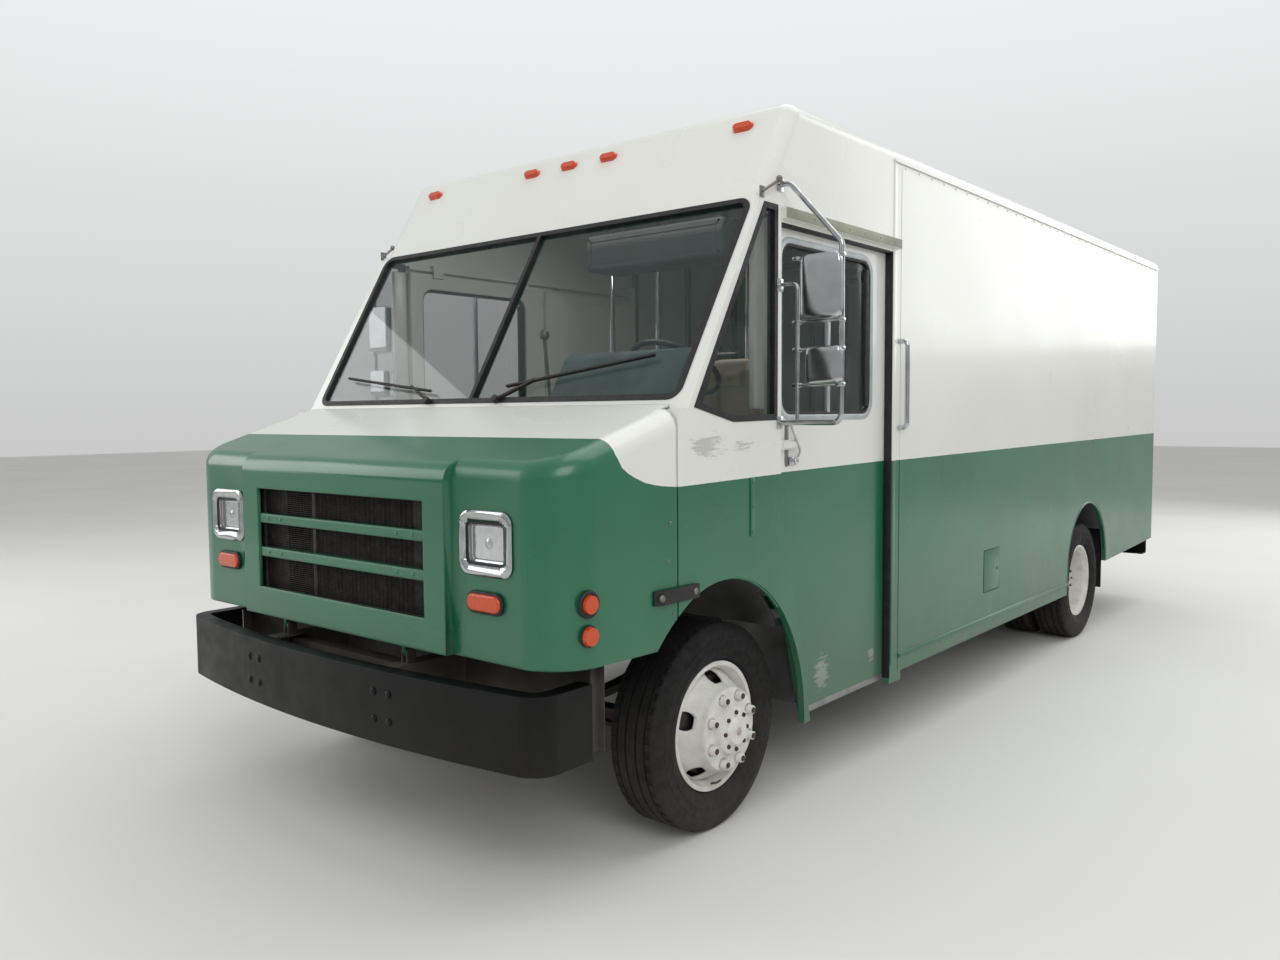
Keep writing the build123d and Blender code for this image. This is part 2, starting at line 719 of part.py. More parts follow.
# Engine cover that stands on the cab floor over the back of the engine
cover_half = 372
cover_top_z = 1310
cover_wall = 22
cover_rear_y = tunnel_rear_y + 20
firewall_y = nose_seam_y
firewall_thickness = 22
cover_front_y = firewall_y + firewall_thickness
with BuildPart() as engine_cover:
    with BuildSketch(across(cover_rear_y)) as cover_plan:
        with Locations((0, (floor_top + cover_top_z) / 2)):
            Rectangle(2 * cover_half, cover_top_z - floor_top)
        fillet(cover_plan.vertices().group_by(Axis.Y)[-1], 60)
    extrude(amount=cover_rear_y - cover_front_y)
    with BuildSketch(across(cover_rear_y - cover_wall)) as cover_hollow:
        with Locations((0, (floor_top + cover_top_z) / 2 - cover_wall)):
            Rectangle(2 * (cover_half - cover_wall), cover_top_z - floor_top)
        fillet(cover_hollow.vertices().group_by(Axis.Y)[-1], 60 - cover_wall)
    extrude(amount=cover_rear_y - cover_front_y, mode=Mode.SUBTRACT)
save(engine_cover.part, "engine_cover")

# Cowl: the firewall with the shelf under the windscreen
with BuildPart() as cowl:
    with BuildSketch(across(firewall_y + firewall_thickness)):
        with Locations((0, (floor_under + shelf_z) / 2)):
            Rectangle(2 * inside_x, shelf_z - floor_under)
        with Locations((0, (floor_under + cover_top_z - cover_wall) / 2)):
            Rectangle(
                2 * (cover_half - cover_wall), cover_top_z - cover_wall - floor_under, mode=Mode.SUBTRACT
            )
    extrude(amount=firewall_thickness)
    for side in (1, -1):
        with BuildSketch(Plane.YZ.offset(front_house_inner_x if side > 0 else -inside_x - 1)):
            with Locations((arch_y, arch_z)):
                Ellipse(arch_half + house_gap + house_wall, arch_rise + house_gap + house_wall)
        extrude(amount=inside_x - front_house_inner_x + 1, mode=Mode.SUBTRACT)
    shelf_rear_y = screen_y(shelf_z) + pillar_depth + 12
    with Locations((0, (firewall_y + shelf_rear_y) / 2, shelf_z - 8)):
        Box(2 * inside_x, shelf_rear_y - firewall_y, 16)
    for side in (1, -1):
        with BuildSketch(Plane.YZ.offset(nose_tongue_half + 4 if side > 0 else -inside_x)):
            with BuildLine():
                Polyline(
                    (firewall_y, shelf_z - 4),
                    (firewall_y, sill_z),
                    (screen_y(sill_z), sill_z),
                    (screen_y(shelf_z), shelf_z),
                    (screen_y(shelf_z), shelf_z - 4),
                    close=True,
                )
            make_face()
        extrude(amount=inside_x - nose_tongue_half - 4)
save(cowl.part, "cowl")

# Cab front: windscreen surround with its pillars, and the cap that rounds into the roof
screen_plane = Plane(
    origin=(0, screen_foot_y, screen_foot_z),
    x_dir=(1, 0, 0),
    z_dir=(0, -cos(radians(screen_lean)), sin(radians(screen_lean))),
)
screen_rise = (screen_top_z - screen_foot_z) / cos(radians(screen_lean))
pillar_normal = pillar_depth * cos(radians(screen_lean))
cap_rear_y = front_axle_y + 1295


def cap_block(inset):
    """Solid of the roof cap set in by inset, with its rounded top and corner edges."""
    top = roof_height - inset
    half = half_width - inset
    base = cap_bottom_z - 3 * inset
    with BuildPart() as block:
        with BuildSketch(Plane.YZ.offset(-half)):
            with BuildLine():
                Polyline(
                    (screen_y(base) + inset / cos(radians(screen_lean)), base),
                    (screen_y(top) + inset / cos(radians(screen_lean)), top),
                    (cap_rear_y + 9 * inset, top),
                    (cap_rear_y + 9 * inset, base),
                    close=True,
                )
            make_face()
        extrude(amount=2 * half)
        top_face = block.faces().sort_by(Axis.Z)[-1]
        rear_edge = top_face.edges().sort_by(Axis.Y)[-1]
        front_edges = block.faces().sort_by(Axis.Y)[0].edges()
        corner_edges = [e for e in front_edges if abs(e.tangent_at(0).X) < 0.1]
        round_edges = [e for e in top_face.edges() if (e @ 0.5 - rear_edge @ 0.5).length > 1]
        fillet(round_edges + corner_edges, roof_edge_radius - inset)
        return block.part


cap_outer = cap_block(0)
cap_inner = cap_block(wall)


def screen_outline(margin):
    """Sketch of the glass opening on the windscreen plane, set in by margin."""
    with BuildSketch(screen_plane) as outline:
        with BuildLine():
            Polyline(
                (-screen_half_foot + margin, margin),
                (screen_half_foot - margin, margin),
                (screen_half_top - margin, screen_rise - margin),
                (-screen_half_top + margin, screen_rise - margin),
                close=True,
            )
        make_face()
        fillet(outline.vertices(), screen_corner_radius - margin)
    return outline.sketch


screen_hole = screen_outline(0)
with BuildPart() as cab_front:
    for low_z, high_z, half in ((sill_z, cap_bottom_z, half_width), (shelf_z, sill_z, inside_x)):
        with BuildSketch(Plane.YZ.offset(-half)):
            with BuildLine():
                Polyline(
                    (screen_y(low_z), low_z),
                    (screen_y(high_z), high_z),
                    (screen_y(high_z) + pillar_depth, high_z),
                    (screen_y(low_z) + pillar_depth, low_z),
                    close=True,
                )
            make_face()
        extrude(amount=2 * half)
    add(cap_outer)
    add(cap_inner, mode=Mode.SUBTRACT)
    extrude(screen_hole, amount=3 * pillar_depth, both=True, mode=Mode.SUBTRACT)
save(cab_front.part, "cab_front")

# Windscreen: a rubber seal with a centre bar, and two panes
bar_width = 22
with BuildPart() as screen_seal:
    extrude(screen_hole, amount=4)
    extrude(screen_hole, amount=-(seal_thickness - 4))
    extrude(screen_outline(seal_width), amount=seal_thickness, both=True, mode=Mode.SUBTRACT)
    with BuildSketch(screen_plane) as bar:
        with Locations((0, screen_rise / 2)):
            Rectangle(bar_width, screen_rise - seal_width)
    extrude(amount=4)
    extrude(bar.sketch, amount=-(seal_thickness - 4))
with BuildPart() as windscreen:
    extrude(screen_outline(seal_width), amount=-(pillar_normal + glass_thickness) / 2)
    extrude(screen_outline(seal_width), amount=-(pillar_normal - glass_thickness) / 2, mode=Mode.SUBTRACT)
    with BuildSketch(screen_plane):
        with Locations((0, screen_rise / 2)):
            Rectangle(bar_width, screen_rise)
    extrude(amount=-2 * pillar_depth, mode=Mode.SUBTRACT)

# Body side on the left: one wall from the nose seam to the rear corner, with the sliding door's pocket
door_opening = (
    (door_front_y, door_top_z),
    (door_rear_y, door_top_z),
    (door_rear_y, post_bottom_z - 50),
    (door_foot_y, post_bottom_z - 50),
    (door_foot_y, door_foot_z),
    (door_slant_y, door_slant_z),
    (door_front_y, door_knee_z),
)
quarter_opening = (
    (screen_y(quarter_front_z), quarter_front_z),
    (quarter_foot_y, belt_z),
    (quarter_rear_y, belt_z + 5),
    (quarter_rear_y + 4, quarter_top_z),
    (screen_y(quarter_top_z), quarter_top_z),
)
screen_back_y = pillar_depth
drip_rail_reach = 24
drip_rail_z = door_top_z + 14
drip_rail_height = 46
drip_rail_over = 50
gutter_reach = 9
sheet_front_y = front_axle_y + 1380
sheet_margin = 12
sheet_proud = 2
with BuildPart() as side:
    with BuildSketch(Plane.YZ.offset(inside_x)):
        with BuildLine():
            Polyline(
                (nose_seam_y, arch_z),
                (nose_seam_y, sill_z),
                (screen_y(sill_z) + screen_back_y, sill_z),
                (screen_y(cap_bottom_z) + screen_back_y, cap_bottom_z),
                (cap_rear_y, cap_bottom_z),
                (cap_rear_y, gutter_z),
                (side_rear_y, gutter_z),
                (side_rear_y, rear_corner_z),
                (rear_axle_y + 520, tail_skirt_z),
                (rear_axle_y + rear_arch_radius, tail_skirt_z),
                (rear_axle_y + rear_arch_radius, rear_arch_z),
                (rear_axle_y - rear_arch_radius, rear_arch_z),
                (rear_axle_y - rear_arch_radius, skirt_z),
                (post_rear_y, skirt_z),
                (post_rear_y, post_bottom_z),
                (arch_y, post_bottom_z),
                (arch_y, arch_z),
                close=True,
            )
        make_face()
        with Locations((arch_y, arch_z)):
            Ellipse(arch_half, arch_rise, mode=Mode.SUBTRACT)
        with Locations((arch_y, arch_z - arch_half / 2)):
            Rectangle(2 * arch_half, arch_half, mode=Mode.SUBTRACT)
        with Locations((rear_axle_y, rear_arch_z)):
            Circle(rear_arch_radius, mode=Mode.SUBTRACT)
        with BuildLine():
            Polyline(*door_opening, close=True)
        make_face(mode=Mode.SUBTRACT)
        with BuildLine():
            Polyline(*quarter_opening, close=True)
        make_face(mode=Mode.SUBTRACT)
    extrude(amount=wall)
    # Body sheet riveted over the wall behind the door post
    with BuildSketch(Plane.YZ.offset(half_width)):
        with BuildLine():
            Polyline(
                (sheet_front_y, skirt_z + sheet_margin),
                (sheet_front_y, gutter_z - 3 * sheet_margin),
                (side_rear_y - sheet_margin, gutter_z - 3 * sheet_margin),
                (side_rear_y - sheet_margin, rear_corner_z + sheet_margin),
                (rear_axle_y + 520, tail_skirt_z + sheet_margin),
                (rear_axle_y - rear_arch_radius - sheet_margin, tail_skirt_z + sheet_margin),
                (rear_axle_y - rear_arch_radius - sheet_margin, skirt_z + sheet_margin),
                close=True,
            )
        make_face()
        with Locations((rear_axle_y, rear_arch_z)):
            Circle(rear_arch_radius + sheet_margin, mode=Mode.SUBTRACT)
    extrude(amount=sheet_proud)
    # Pocket liner with its rear post, and the header bar that carries the door's rollers
    liner_mid_x = (liner_inner_x + liner_outer_x) / 2
    liner_mid_y = (door_rear_y + pocket_rear_y) / 2
    with Locations((liner_mid_x, liner_mid_y, (floor_under + door_top_z) / 2)):
        Box(liner_thickness, pocket_rear_y - door_rear_y, door_top_z - floor_under)
    post_top_z = track_z + track_height + 40
    with Locations(((liner_inner_x + inside_x) / 2, pocket_rear_y + 12, (floor_top + post_top_z) / 2)):
        Box(inside_x - liner_inner_x, 24, post_top_z - floor_top)
    track_x = (door_inner_x + door_outer_x) / 2
    track_front_y = door_front_y - 10
    with Locations((track_x, (track_front_y + pocket_rear_y) / 2, track_z + track_height / 2)):
        Box(track_width, pocket_rear_y - track_front_y, track_height)
    with Locations(((track_x + inside_x) / 2, track_front_y - 6, track_z + track_height / 2)):
        Box(inside_x - track_x + track_width, 12, track_height)
    # Drip rail over the door and the gutter along the roof seam
    drip_rail_y = (door_front_y + door_rear_y + drip_rail_over) / 2
    with Locations((half_width + drip_rail_reach / 2, drip_rail_y, drip_rail_z + drip_rail_height / 2)):
        Box(drip_rail_reach, door_rear_y - door_front_y + drip_rail_over, drip_rail_height)
    with Locations((half_width + gutter_reach / 2, (cap_rear_y + side_rear_y) / 2, gutter_z - 8)):
        Box(gutter_reach, side_rear_y - cap_rear_y, 12)
save_pair(side.part, "side")

# Quarter windows: a rubber frame and a pane in each side


def quarter_outline(plane, margin):
    """Sketch on plane of the quarter opening behind the pillar, set in by margin."""
    edge_low = screen_y(shelf_z) + screen_back_y + seat_gap
    edge_high = screen_y(roof_height) + screen_back_y + seat_gap
    with BuildSketch(plane) as outline:
        with BuildLine():
            Polyline(*quarter_opening, close=True)
        make_face()
        with BuildLine():
            Polyline(
                (edge_low, shelf_z),
                (edge_high, roof_height),
                (door_rear_y, roof_height),
                (door_rear_y, shelf_z),
                close=True,
            )
        make_face(mode=Mode.INTERSECT)
        if margin:
            offset(amount=-margin, mode=Mode.REPLACE)
    return outline.sketch


seal_plane = Plane.YZ.offset(inside_x - 3)
pane_plane = Plane.YZ.offset(inside_x + wall / 2)
with BuildPart() as quarter_seal:
    extrude(quarter_outline(seal_plane, 0), amount=wall + 6)
    extrude(quarter_outline(seal_plane, seal_width), amount=wall + 6, mode=Mode.SUBTRACT)
with BuildPart() as quarter_pane:
    extrude(quarter_outline(pane_plane, seal_width), amount=glass_thickness)
with BuildPart() as cab_glass:
    add(windscreen.part)
    add(quarter_pane.part)
    mirror(quarter_pane.part, about=Plane.YZ)
save(cab_glass.part, "cab_glass")
with BuildPart() as window_seals:
    add(screen_seal.part)
    add(quarter_seal.part)
    mirror(quarter_seal.part, about=Plane.YZ)
save(window_seals.part, "window_seals")

# Sliding door on the left, its window and the hooks that hang it on the track
hook_places = (0.18, 0.82)
handle_y = front_axle_y + 382
handle_z = 1540
door_low = door_front_y - door_overlap
door_high = door_rear_y + door_overlap
with BuildPart() as door:
    with BuildSketch(Plane.YZ.offset(door_inner_x)):
        with BuildLine():
            Polyline(
                (door_low, door_top_z + door_overlap),
                (door_high, door_top_z + door_overlap),
                (door_high, door_bottom_z),
                (door_foot_y + 12, door_bottom_z),
                (door_slant_y - door_overlap, door_slant_z),
                (door_low, door_knee_z),
                close=True,
            )
        make_face()
        window_low, window_high, window_foot, window_head = door_window
        with Locations((front_axle_y + (window_low + window_high) / 2, (window_foot + window_head) / 2)):
            RectangleRounded(
                window_high - window_low, window_head - window_foot, door_window_radius, mode=Mode.SUBTRACT
            )
    extrude(amount=door_thickness)
    for share in hook_places:
        hook_y = door_low + share * (door_high - door_low)
        hook_top = track_z + track_height + seat_gap + 10
        with Locations((door_inner_x - 5, hook_y, (door_top_z + hook_top) / 2)):
            Box(10, 70, hook_top - door_top_z)
        with Locations(((door_inner_x - 10 + track_x + track_width / 2) / 2, hook_y, hook_top - 5)):
            Box(track_x + track_width / 2 - door_inner_x + 10, 70, 10)
    with Locations((door_outer_x + 9, handle_y, handle_z)):
        Box(18, 126, 40)
    with Locations((door_outer_x + 20, handle_y + 6, handle_z)):
        Box(8, 110, 28)
save_pair(door.part, "door")
with BuildPart() as door_pane:
    with BuildSketch(Plane.YZ.offset((door_inner_x + door_outer_x - glass_thickness) / 2)):
        with Locations((front_axle_y + (window_low + window_high) / 2, (window_foot + window_head) / 2)):
            RectangleRounded(window_high - window_low, window_head - window_foot, door_window_radius)
    extrude(amount=glass_thickness)
save_pair(door_pane.part, "door_pane")

# Roof behind the cap: a rounded tray on the side walls
with BuildPart() as roof:
    with BuildSketch(across(side_rear_y)) as roof_section:
        with Locations((0, roof_height / 2)):
            Rectangle(body_width, roof_height)
        fillet(roof_section.vertices().group_by(Axis.Y)[-1], roof_edge_radius)
        with Locations((0, (roof_height - wall) / 2)):
            Rectangle(2 * inside_x, roof_height - wall, mode=Mode.SUBTRACT)
        fillet(
            roof_section.vertices().group_by(Axis.Y)[-2],
            roof_edge_radius - wall,
        )
        with Locations((0, gutter_z / 2)):
            Rectangle(2 * body_width, gutter_z, mode=Mode.SUBTRACT)
    extrude(amount=side_rear_y - cap_rear_y)
save(roof.part, "roof")

# Rear wall around the double doors
rear_door_half = half_width - 360
rear_door_foot_z = 806
rear_door_head_z = roof_height - 330
with BuildPart() as rear_wall_part:
    with BuildSketch(across(side_rear_y + rear_wall)) as rear_section:
        with Locations((0, (roof_height + rear_corner_z) / 2)):
            Rectangle(body_width, roof_height - rear_corner_z)
        fillet(rear_section.vertices().group_by(Axis.Y)[-1], roof_edge_radius)
        with Locations((0, (rear_door_foot_z + rear_door_head_z) / 2)):
            Rectangle(2 * rear_door_half, rear_door_head_z - rear_door_foot_z, mode=Mode.SUBTRACT)
    extrude(amount=rear_wall)
    hinge_inset = 200
    hinge_levels = (
        rear_door_foot_z + hinge_inset,
        (rear_door_foot_z + rear_door_head_z) / 2,
        rear_door_head_z - hinge_inset,
    )
    hinge_radius = 8
    hinge_y = side_rear_y + rear_wall + hinge_radius
    hinge_x = rear_door_half + 2
    leaf = 3
    knuckle_height = 40
    for side_sign in (1, -1):
        for level in hinge_levels:
            with Locations((side_sign * (hinge_x + 22), side_rear_y + rear_wall + leaf / 2, level)):
                Box(44, leaf, 3 * knuckle_height)
            with Locations((side_sign * hinge_x, hinge_y, level)):
                Cylinder(hinge_radius, knuckle_height)
                Cylinder(hinge_radius / 2 - seat_gap, 3 * knuckle_height)
            for end in (-1, 1):
                with Locations((side_sign * hinge_x, hinge_y - 4, level + end * (knuckle_height + 1))):
                    Cylinder(hinge_radius + 3, knuckle_height + 0.6, mode=Mode.SUBTRACT)
                with Locations((side_sign * hinge_x, hinge_y, level + end * knuckle_height)):
                    Cylinder(hinge_radius / 2 - seat_gap, knuckle_height)
save(rear_wall_part.part, "rear_wall")

# Rear doors: leaves in the opening, hinged on pins behind its outer edges
rear_door_gap = 3
rear_door_thickness = 34
rear_window = (430, 480, rear_door_head_z - 540)  # width, height, centre height
rear_window_radius = 60
rear_handle = (110, 1420)  # x and height
rear_handle_proud = 32
with BuildPart() as rear_door:
    leaf_width_x = rear_door_half - 2 * rear_door_gap
    with BuildSketch(across(side_rear_y + rear_wall)):
        with Locations((rear_door_half / 2, (rear_door_foot_z + rear_door_head_z) / 2)):
            Rectangle(leaf_width_x, rear_door_head_z - rear_door_foot_z - 2 * rear_door_gap)
        with Locations((rear_door_half / 2, rear_window[2])):
            RectangleRounded(rear_window[0], rear_window[1], rear_window_radius, mode=Mode.SUBTRACT)
    extrude(amount=rear_door_thickness)
    for level in hinge_levels:
        for end in (-1, 1):
            knuckle_z = level + end * (knuckle_height + 1)
            with Locations((hinge_x - 30, side_rear_y + rear_wall + leaf / 2, knuckle_z)):
                Box(52, leaf, knuckle_height)
            with Locations((hinge_x, hinge_y, knuckle_z)):
                Cylinder(hinge_radius, knuckle_height)
                Cylinder(hinge_radius / 2, knuckle_height, mode=Mode.SUBTRACT)
    with Locations((rear_handle[0], side_rear_y + rear_wall + rear_handle_proud / 2, rear_handle[1])):
        Box(34, rear_handle_proud, 220)
save_pair(rear_door.part, "rear_door")
with BuildPart() as rear_pane:
    with BuildSketch(across(side_rear_y + rear_wall - 12)):
        with Locations((rear_door_half / 2, rear_window[2])):
            RectangleRounded(rear_window[0], rear_window[1], rear_window_radius)
    extrude(amount=glass_thickness)
save_pair(rear_pane.part, "rear_pane")

# Nose: a rounded shell with a proud centre section, open below and behind


def nose_block(inset):
    """Solid of the nose set in by inset: tapered sides, rounded corners, sloped top with a rounded rim."""
    top_drop = inset * sqrt(1 + nose_top_slope ** 2)
    base = nose_bottom_z - 4 * inset
    with BuildPart() as block:
        with BuildSketch(Plane.XY.offset(base)) as plan:
            with BuildLine():
                Polyline(
                    (nose_side_x(nose_rear_y + 6 * inset) - inset, nose_rear_y + 6 * inset),
                    (nose_front_half - inset, nose_front_y + inset),
                    (-nose_front_half + inset, nose_front_y + inset),
                    (-nose_side_x(nose_rear_y + 6 * inset) + inset, nose_rear_y + 6 * inset),
                    close=True,
                )
            make_face()
            fillet(plan.vertices().group_by(Axis.Y)[0], nose_corner_radius - inset)
        extrude(amount=roof_height - base)
        with BuildSketch(Plane.YZ.offset(-body_width)):
            with BuildLine():
                Polyline(
                    (nose_front_y - 500, nose_z(nose_front_y - 500) - top_drop),
                    (nose_rear_y + 500, nose_z(nose_rear_y + 500) - top_drop),
                    (nose_rear_y + 500, 2 * roof_height),
                    (nose_front_y - 500, 2 * roof_height),
                    close=True,
                )
            make_face()
        extrude(amount=2 * body_width, mode=Mode.SUBTRACT)
        top_face = block.faces().sort_by(Axis.Z)[-1]
        rear_edge = top_face.edges().sort_by(Axis.Y)[-1]
        rim = [e for e in top_face.edges() if (e @ 0.5 - rear_edge @ 0.5).length > 1]
        fillet(rim, nose_edge_radius - inset)
        return block.part


def bulge_block(inset):
    """Solid of the proud centre section set in by inset, with its rounded upper edge and upright edges."""
    top_drop = inset * sqrt(1 + nose_top_slope ** 2)
    front = nose_front_y - bulge_reach + inset
    rear = nose_front_y + 220
    base = nose_bottom_z - 4 * inset
    with BuildPart() as block:
        with BuildSketch(Plane.YZ.offset(-bulge_half + inset)) as profile:
            with BuildLine():
                Polyline(
                    (front, base),
                    (front, nose_z(front) - top_drop),
                    (rear, nose_z(rear) - top_drop),
                    (rear, base),
                    close=True,
                )
            make_face()
            fillet(profile.vertices().sort_by(Axis.X)[:2].sort_by(Axis.Y)[-1], nose_edge_radius - inset)
        extrude(amount=2 * (bulge_half - inset))
        return block.part


nose_outer = nose_block(0)
nose_inner = nose_block(nose_skin)
bulge_outer = bulge_block(0)
bulge_inner = bulge_block(nose_skin)
with BuildPart() as hood:
    add(nose_outer)
    add(bulge_outer)
    add(nose_inner, mode=Mode.SUBTRACT)
    add(bulge_inner, mode=Mode.SUBTRACT)
    # Stiffening lip along the lower rim
    with BuildSketch(Plane.XY.offset(nose_bottom_z)):
        with BuildLine():
            Polyline(
                (-nose_front_half + nose_skin / 2, nose_front_y + nose_corner_radius),
                (-nose_front_half + nose_corner_radius * 0.75, nose_front_y + nose_skin / 2),
                (nose_front_half - nose_corner_radius * 0.75, nose_front_y + nose_skin / 2),
                (nose_front_half - nose_skin / 2, nose_front_y + nose_corner_radius),
                (nose_front_half - nose_corner_radius, nose_front_y + lip_width),
                (-nose_front_half + nose_corner_radius, nose_front_y + lip_width),
                close=True,
            )
        make_face()
        with Locations((0, nose_front_y)):
            Rectangle(2 * bulge_half - 2 * nose_skin, 2 * (bulge_reach - nose_skin / 2))
    extrude(amount=lip_thickness)
    # Arch for the front wheels
    with BuildSketch(Plane.YZ.offset(-body_width)):
        with Locations((arch_y, arch_z)):
            Ellipse(arch_half, arch_rise)
    extrude(amount=2 * body_width, mode=Mode.SUBTRACT)
    # Rear edge of the top, which reaches over the cowl to the windscreen
    with BuildSketch(Plane.YZ.offset(-nose_tongue_half)):
        with BuildLine():
            Polyline(
                (nose_rear_y - 20, nose_z(nose_rear_y - 20) - nose_skin),
                (nose_tongue_rear_y, nose_z(nose_tongue_rear_y) - nose_skin),
                (nose_tongue_rear_y, nose_z(nose_tongue_rear_y)),
                (nose_rear_y - 20, nose_z(nose_rear_y - 20)),
                close=True,
            )
        make_face()
    extrude(amount=2 * nose_tongue_half)
    # Grille opening with its two bars, and the holes of the headlamps
    grille_mid_z = (grille_bottom_z + grille_top_z) / 2
    with Locations((0, nose_front_y - bulge_reach, grille_mid_z)):
        Box(2 * grille_half, 4 * nose_skin, grille_top_z - grille_bottom_z, mode=Mode.SUBTRACT)
    for level in grille_bar_levels:
        with Locations((0, nose_front_y - bulge_reach + nose_skin / 2 + grille_bar_depth / 2, level)):
            Box(2 * grille_half + 60, grille_bar_depth, grille_bar_height)
    with BuildSketch(across(nose_front_y + 60)):
        with Locations((headlamp_x, headlamp_z), (-headlamp_x, headlamp_z)):
            RectangleRounded(headlamp_bezel[0] - 24, headlamp_bezel[1] - 24, headlamp_corner - 12)
    extrude(amount=120, mode=Mode.SUBTRACT)
    # Arms of the hinge below the lip
    for side_sign in (1, -1):
        with BuildSketch(Plane.YZ.offset(side_sign * hood_arm_x - hood_arm_width / 2)):
            with Locations((hood_pin_y, hood_pin_z)):
                Circle(hood_ear_radius - 2)
            with BuildLine():
                Polyline(
                    (hood_pin_y - hood_ear_radius + 2, hood_pin_z),
                    (hood_pin_y + hood_ear_radius - 2, hood_pin_z),
                    (hood_pin_y + 40, nose_bottom_z + 1),
                    (hood_pin_y - 25, nose_bottom_z + 1),
                    close=True,
                )
            make_face()
            with Locations((hood_pin_y, hood_pin_z)):
                Circle(hood_pin_radius + seat_gap, mode=Mode.SUBTRACT)
        extrude(amount=hood_arm_width)
save(hood.part, "hood")

# Grille screen: a fine grid in a frame behind the bars
screen_y0 = nose_front_y - bulge_reach + nose_skin / 2 + grille_bar_depth
screen_frame = 26
core_bars = 12
core_upright_x = -190
with BuildPart() as grille_screen:
    with BuildSketch(across(screen_y0 + 14)):
        with Locations((0, grille_mid_z)):
            Rectangle(2 * grille_half + 56, grille_top_z - grille_bottom_z + 56)
            Rectangle(
                2 * (grille_half - screen_frame), grille_top_z - grille_bottom_z - 12, mode=Mode.SUBTRACT
            )
    extrude(amount=14)
    for step in range(1, core_bars + 1):
        bar_z = grille_bottom_z + step * (grille_top_z - grille_bottom_z) / (core_bars + 1)
        with Locations((0, screen_y0 + 9, bar_z)):
            Box(2 * grille_half - screen_frame, 8, 8)
    with Locations((core_upright_x, screen_y0 + 8, grille_mid_z)):
        Box(16, 12, grille_top_z - grille_bottom_z)
save(grille_screen.part, "grille_screen")

# Headlamps: a bezel with its bucket, and the lens that seats in it
lens_depth = 22
lens_corner = 24
bucket_depth = 70
bezel_proud = 14
headlamp_face_y = nose_front_y - bezel_proud
with BuildPart() as bezel:
    with BuildSketch(across(nose_front_y)):
        with Locations((headlamp_x, headlamp_z)):
            RectangleRounded(headlamp_bezel[0], headlamp_bezel[1], headlamp_corner)
    extrude(amount=bezel_proud)
    chamfer(bezel.faces().sort_by(Axis.Y)[0].edges(), 7)
    with BuildSketch(across(nose_front_y + bucket_depth)):
        with Locations((headlamp_x, headlamp_z)):
            RectangleRounded(headlamp_bezel[0] - 25, headlamp_bezel[1] - 25, headlamp_corner - 13)
    extrude(amount=bucket_depth)
    with BuildSketch(across(headlamp_face_y + lens_depth + 12)):
        with Locations((headlamp_x, headlamp_z)):
            RectangleRounded(headlamp_lens[0], headlamp_lens[1], lens_corner)
    extrude(amount=lens_depth + 30, mode=Mode.SUBTRACT)
with BuildPart() as lens:
    with BuildSketch(across(headlamp_face_y + lens_depth + 12)):
        with Locations((headlamp_x, headlamp_z)):
            RectangleRounded(
                headlamp_lens[0] - 2 * seat_gap, headlamp_lens[1] - 2 * seat_gap, lens_corner - seat_gap
            )
    extrude(amount=lens_depth)
    fillet(lens.faces().sort_by(Axis.Y)[0].edges(), 8)
for piece, stem in ((bezel.part, "headlamp_bezels"), (lens.part, "headlamp_lenses")):
    with BuildPart() as both:
        add(piece)
        mirror(piece, about=Plane.YZ)
    save(both.part, stem)

# Amber lamps of the nose: an oval turn lamp on each front panel and two round lamps on each side
turn_lamp_depth = 22
with BuildPart() as nose_lamp:
    with BuildSketch(across(nose_front_y - seat_gap)):
        with Locations((turn_lamp_x, turn_lamp_z)):
            RectangleRounded(turn_lamp_size[0], turn_lamp_size[1], turn_lamp_size[1] / 2 - 1)
    extrude(amount=turn_lamp_depth)
    fillet(nose_lamp.faces().sort_by(Axis.Y)[0].edges(), 9)
    for level in side_lamp_levels:
        seat = (nose_side_x(side_lamp_y) + seat_gap, side_lamp_y, level)
        with BuildSketch(Plane(origin=seat, z_dir=(1, -nose_taper, 0))):
            Circle(side_lamp_radius)
        extrude(amount=18, taper=12)
with BuildPart() as nose_lamps:
    add(nose_lamp.part)
    mirror(nose_lamp.part, about=Plane.YZ)
save(nose_lamps.part, "nose_lamps")

# Marker lamps on the cap
with BuildPart() as marker_lamps:
    for place in marker_places:
        lamp_plane = Plane(
            origin=(place, screen_y(marker_z) - seat_gap, marker_z),
            x_dir=(1, 0, 0),
            z_dir=screen_plane.z_dir,
        )
        with BuildSketch(lamp_plane):
            RectangleRounded(marker_size[0], marker_size[1], marker_size[1] / 2 - 1)
        extrude(amount=20, taper=20)
save(marker_lamps.part, "marker_lamps")

# Tail lamps on the sill below the rear doors, and two on the header
tail_lamp_x = half_width - 180
header_lamp_x = half_width - 220
tail_lamp_z = 690
tail_lamp_size = (150, 90)
lamp_seat_y = side_rear_y + rear_wall + seat_gap
with BuildPart() as tail_lamps:
    for side_sign in (1, -1):
        with BuildSketch(Plane(origin=(side_sign * tail_lamp_x, lamp_seat_y, tail_lamp_z), z_dir=(0, 1, 0))):
            RectangleRounded(*tail_lamp_size, 20)
        extrude(amount=26, taper=12)
        header_seat = (side_sign * header_lamp_x, lamp_seat_y, marker_z - 40)
        with BuildSketch(Plane(origin=header_seat, z_dir=(0, 1, 0))):
            RectangleRounded(marker_size[0], marker_size[1], marker_size[1] / 2 - 1)
        extrude(amount=18, taper=20)
save(tail_lamps.part, "tail_lamps")

# Tyres: rounded treads on bulged side walls, open round the rim
tread_half = tyre_width / 2 - 12
shoulder = 26
crown_half = tread_half - shoulder * 0.6


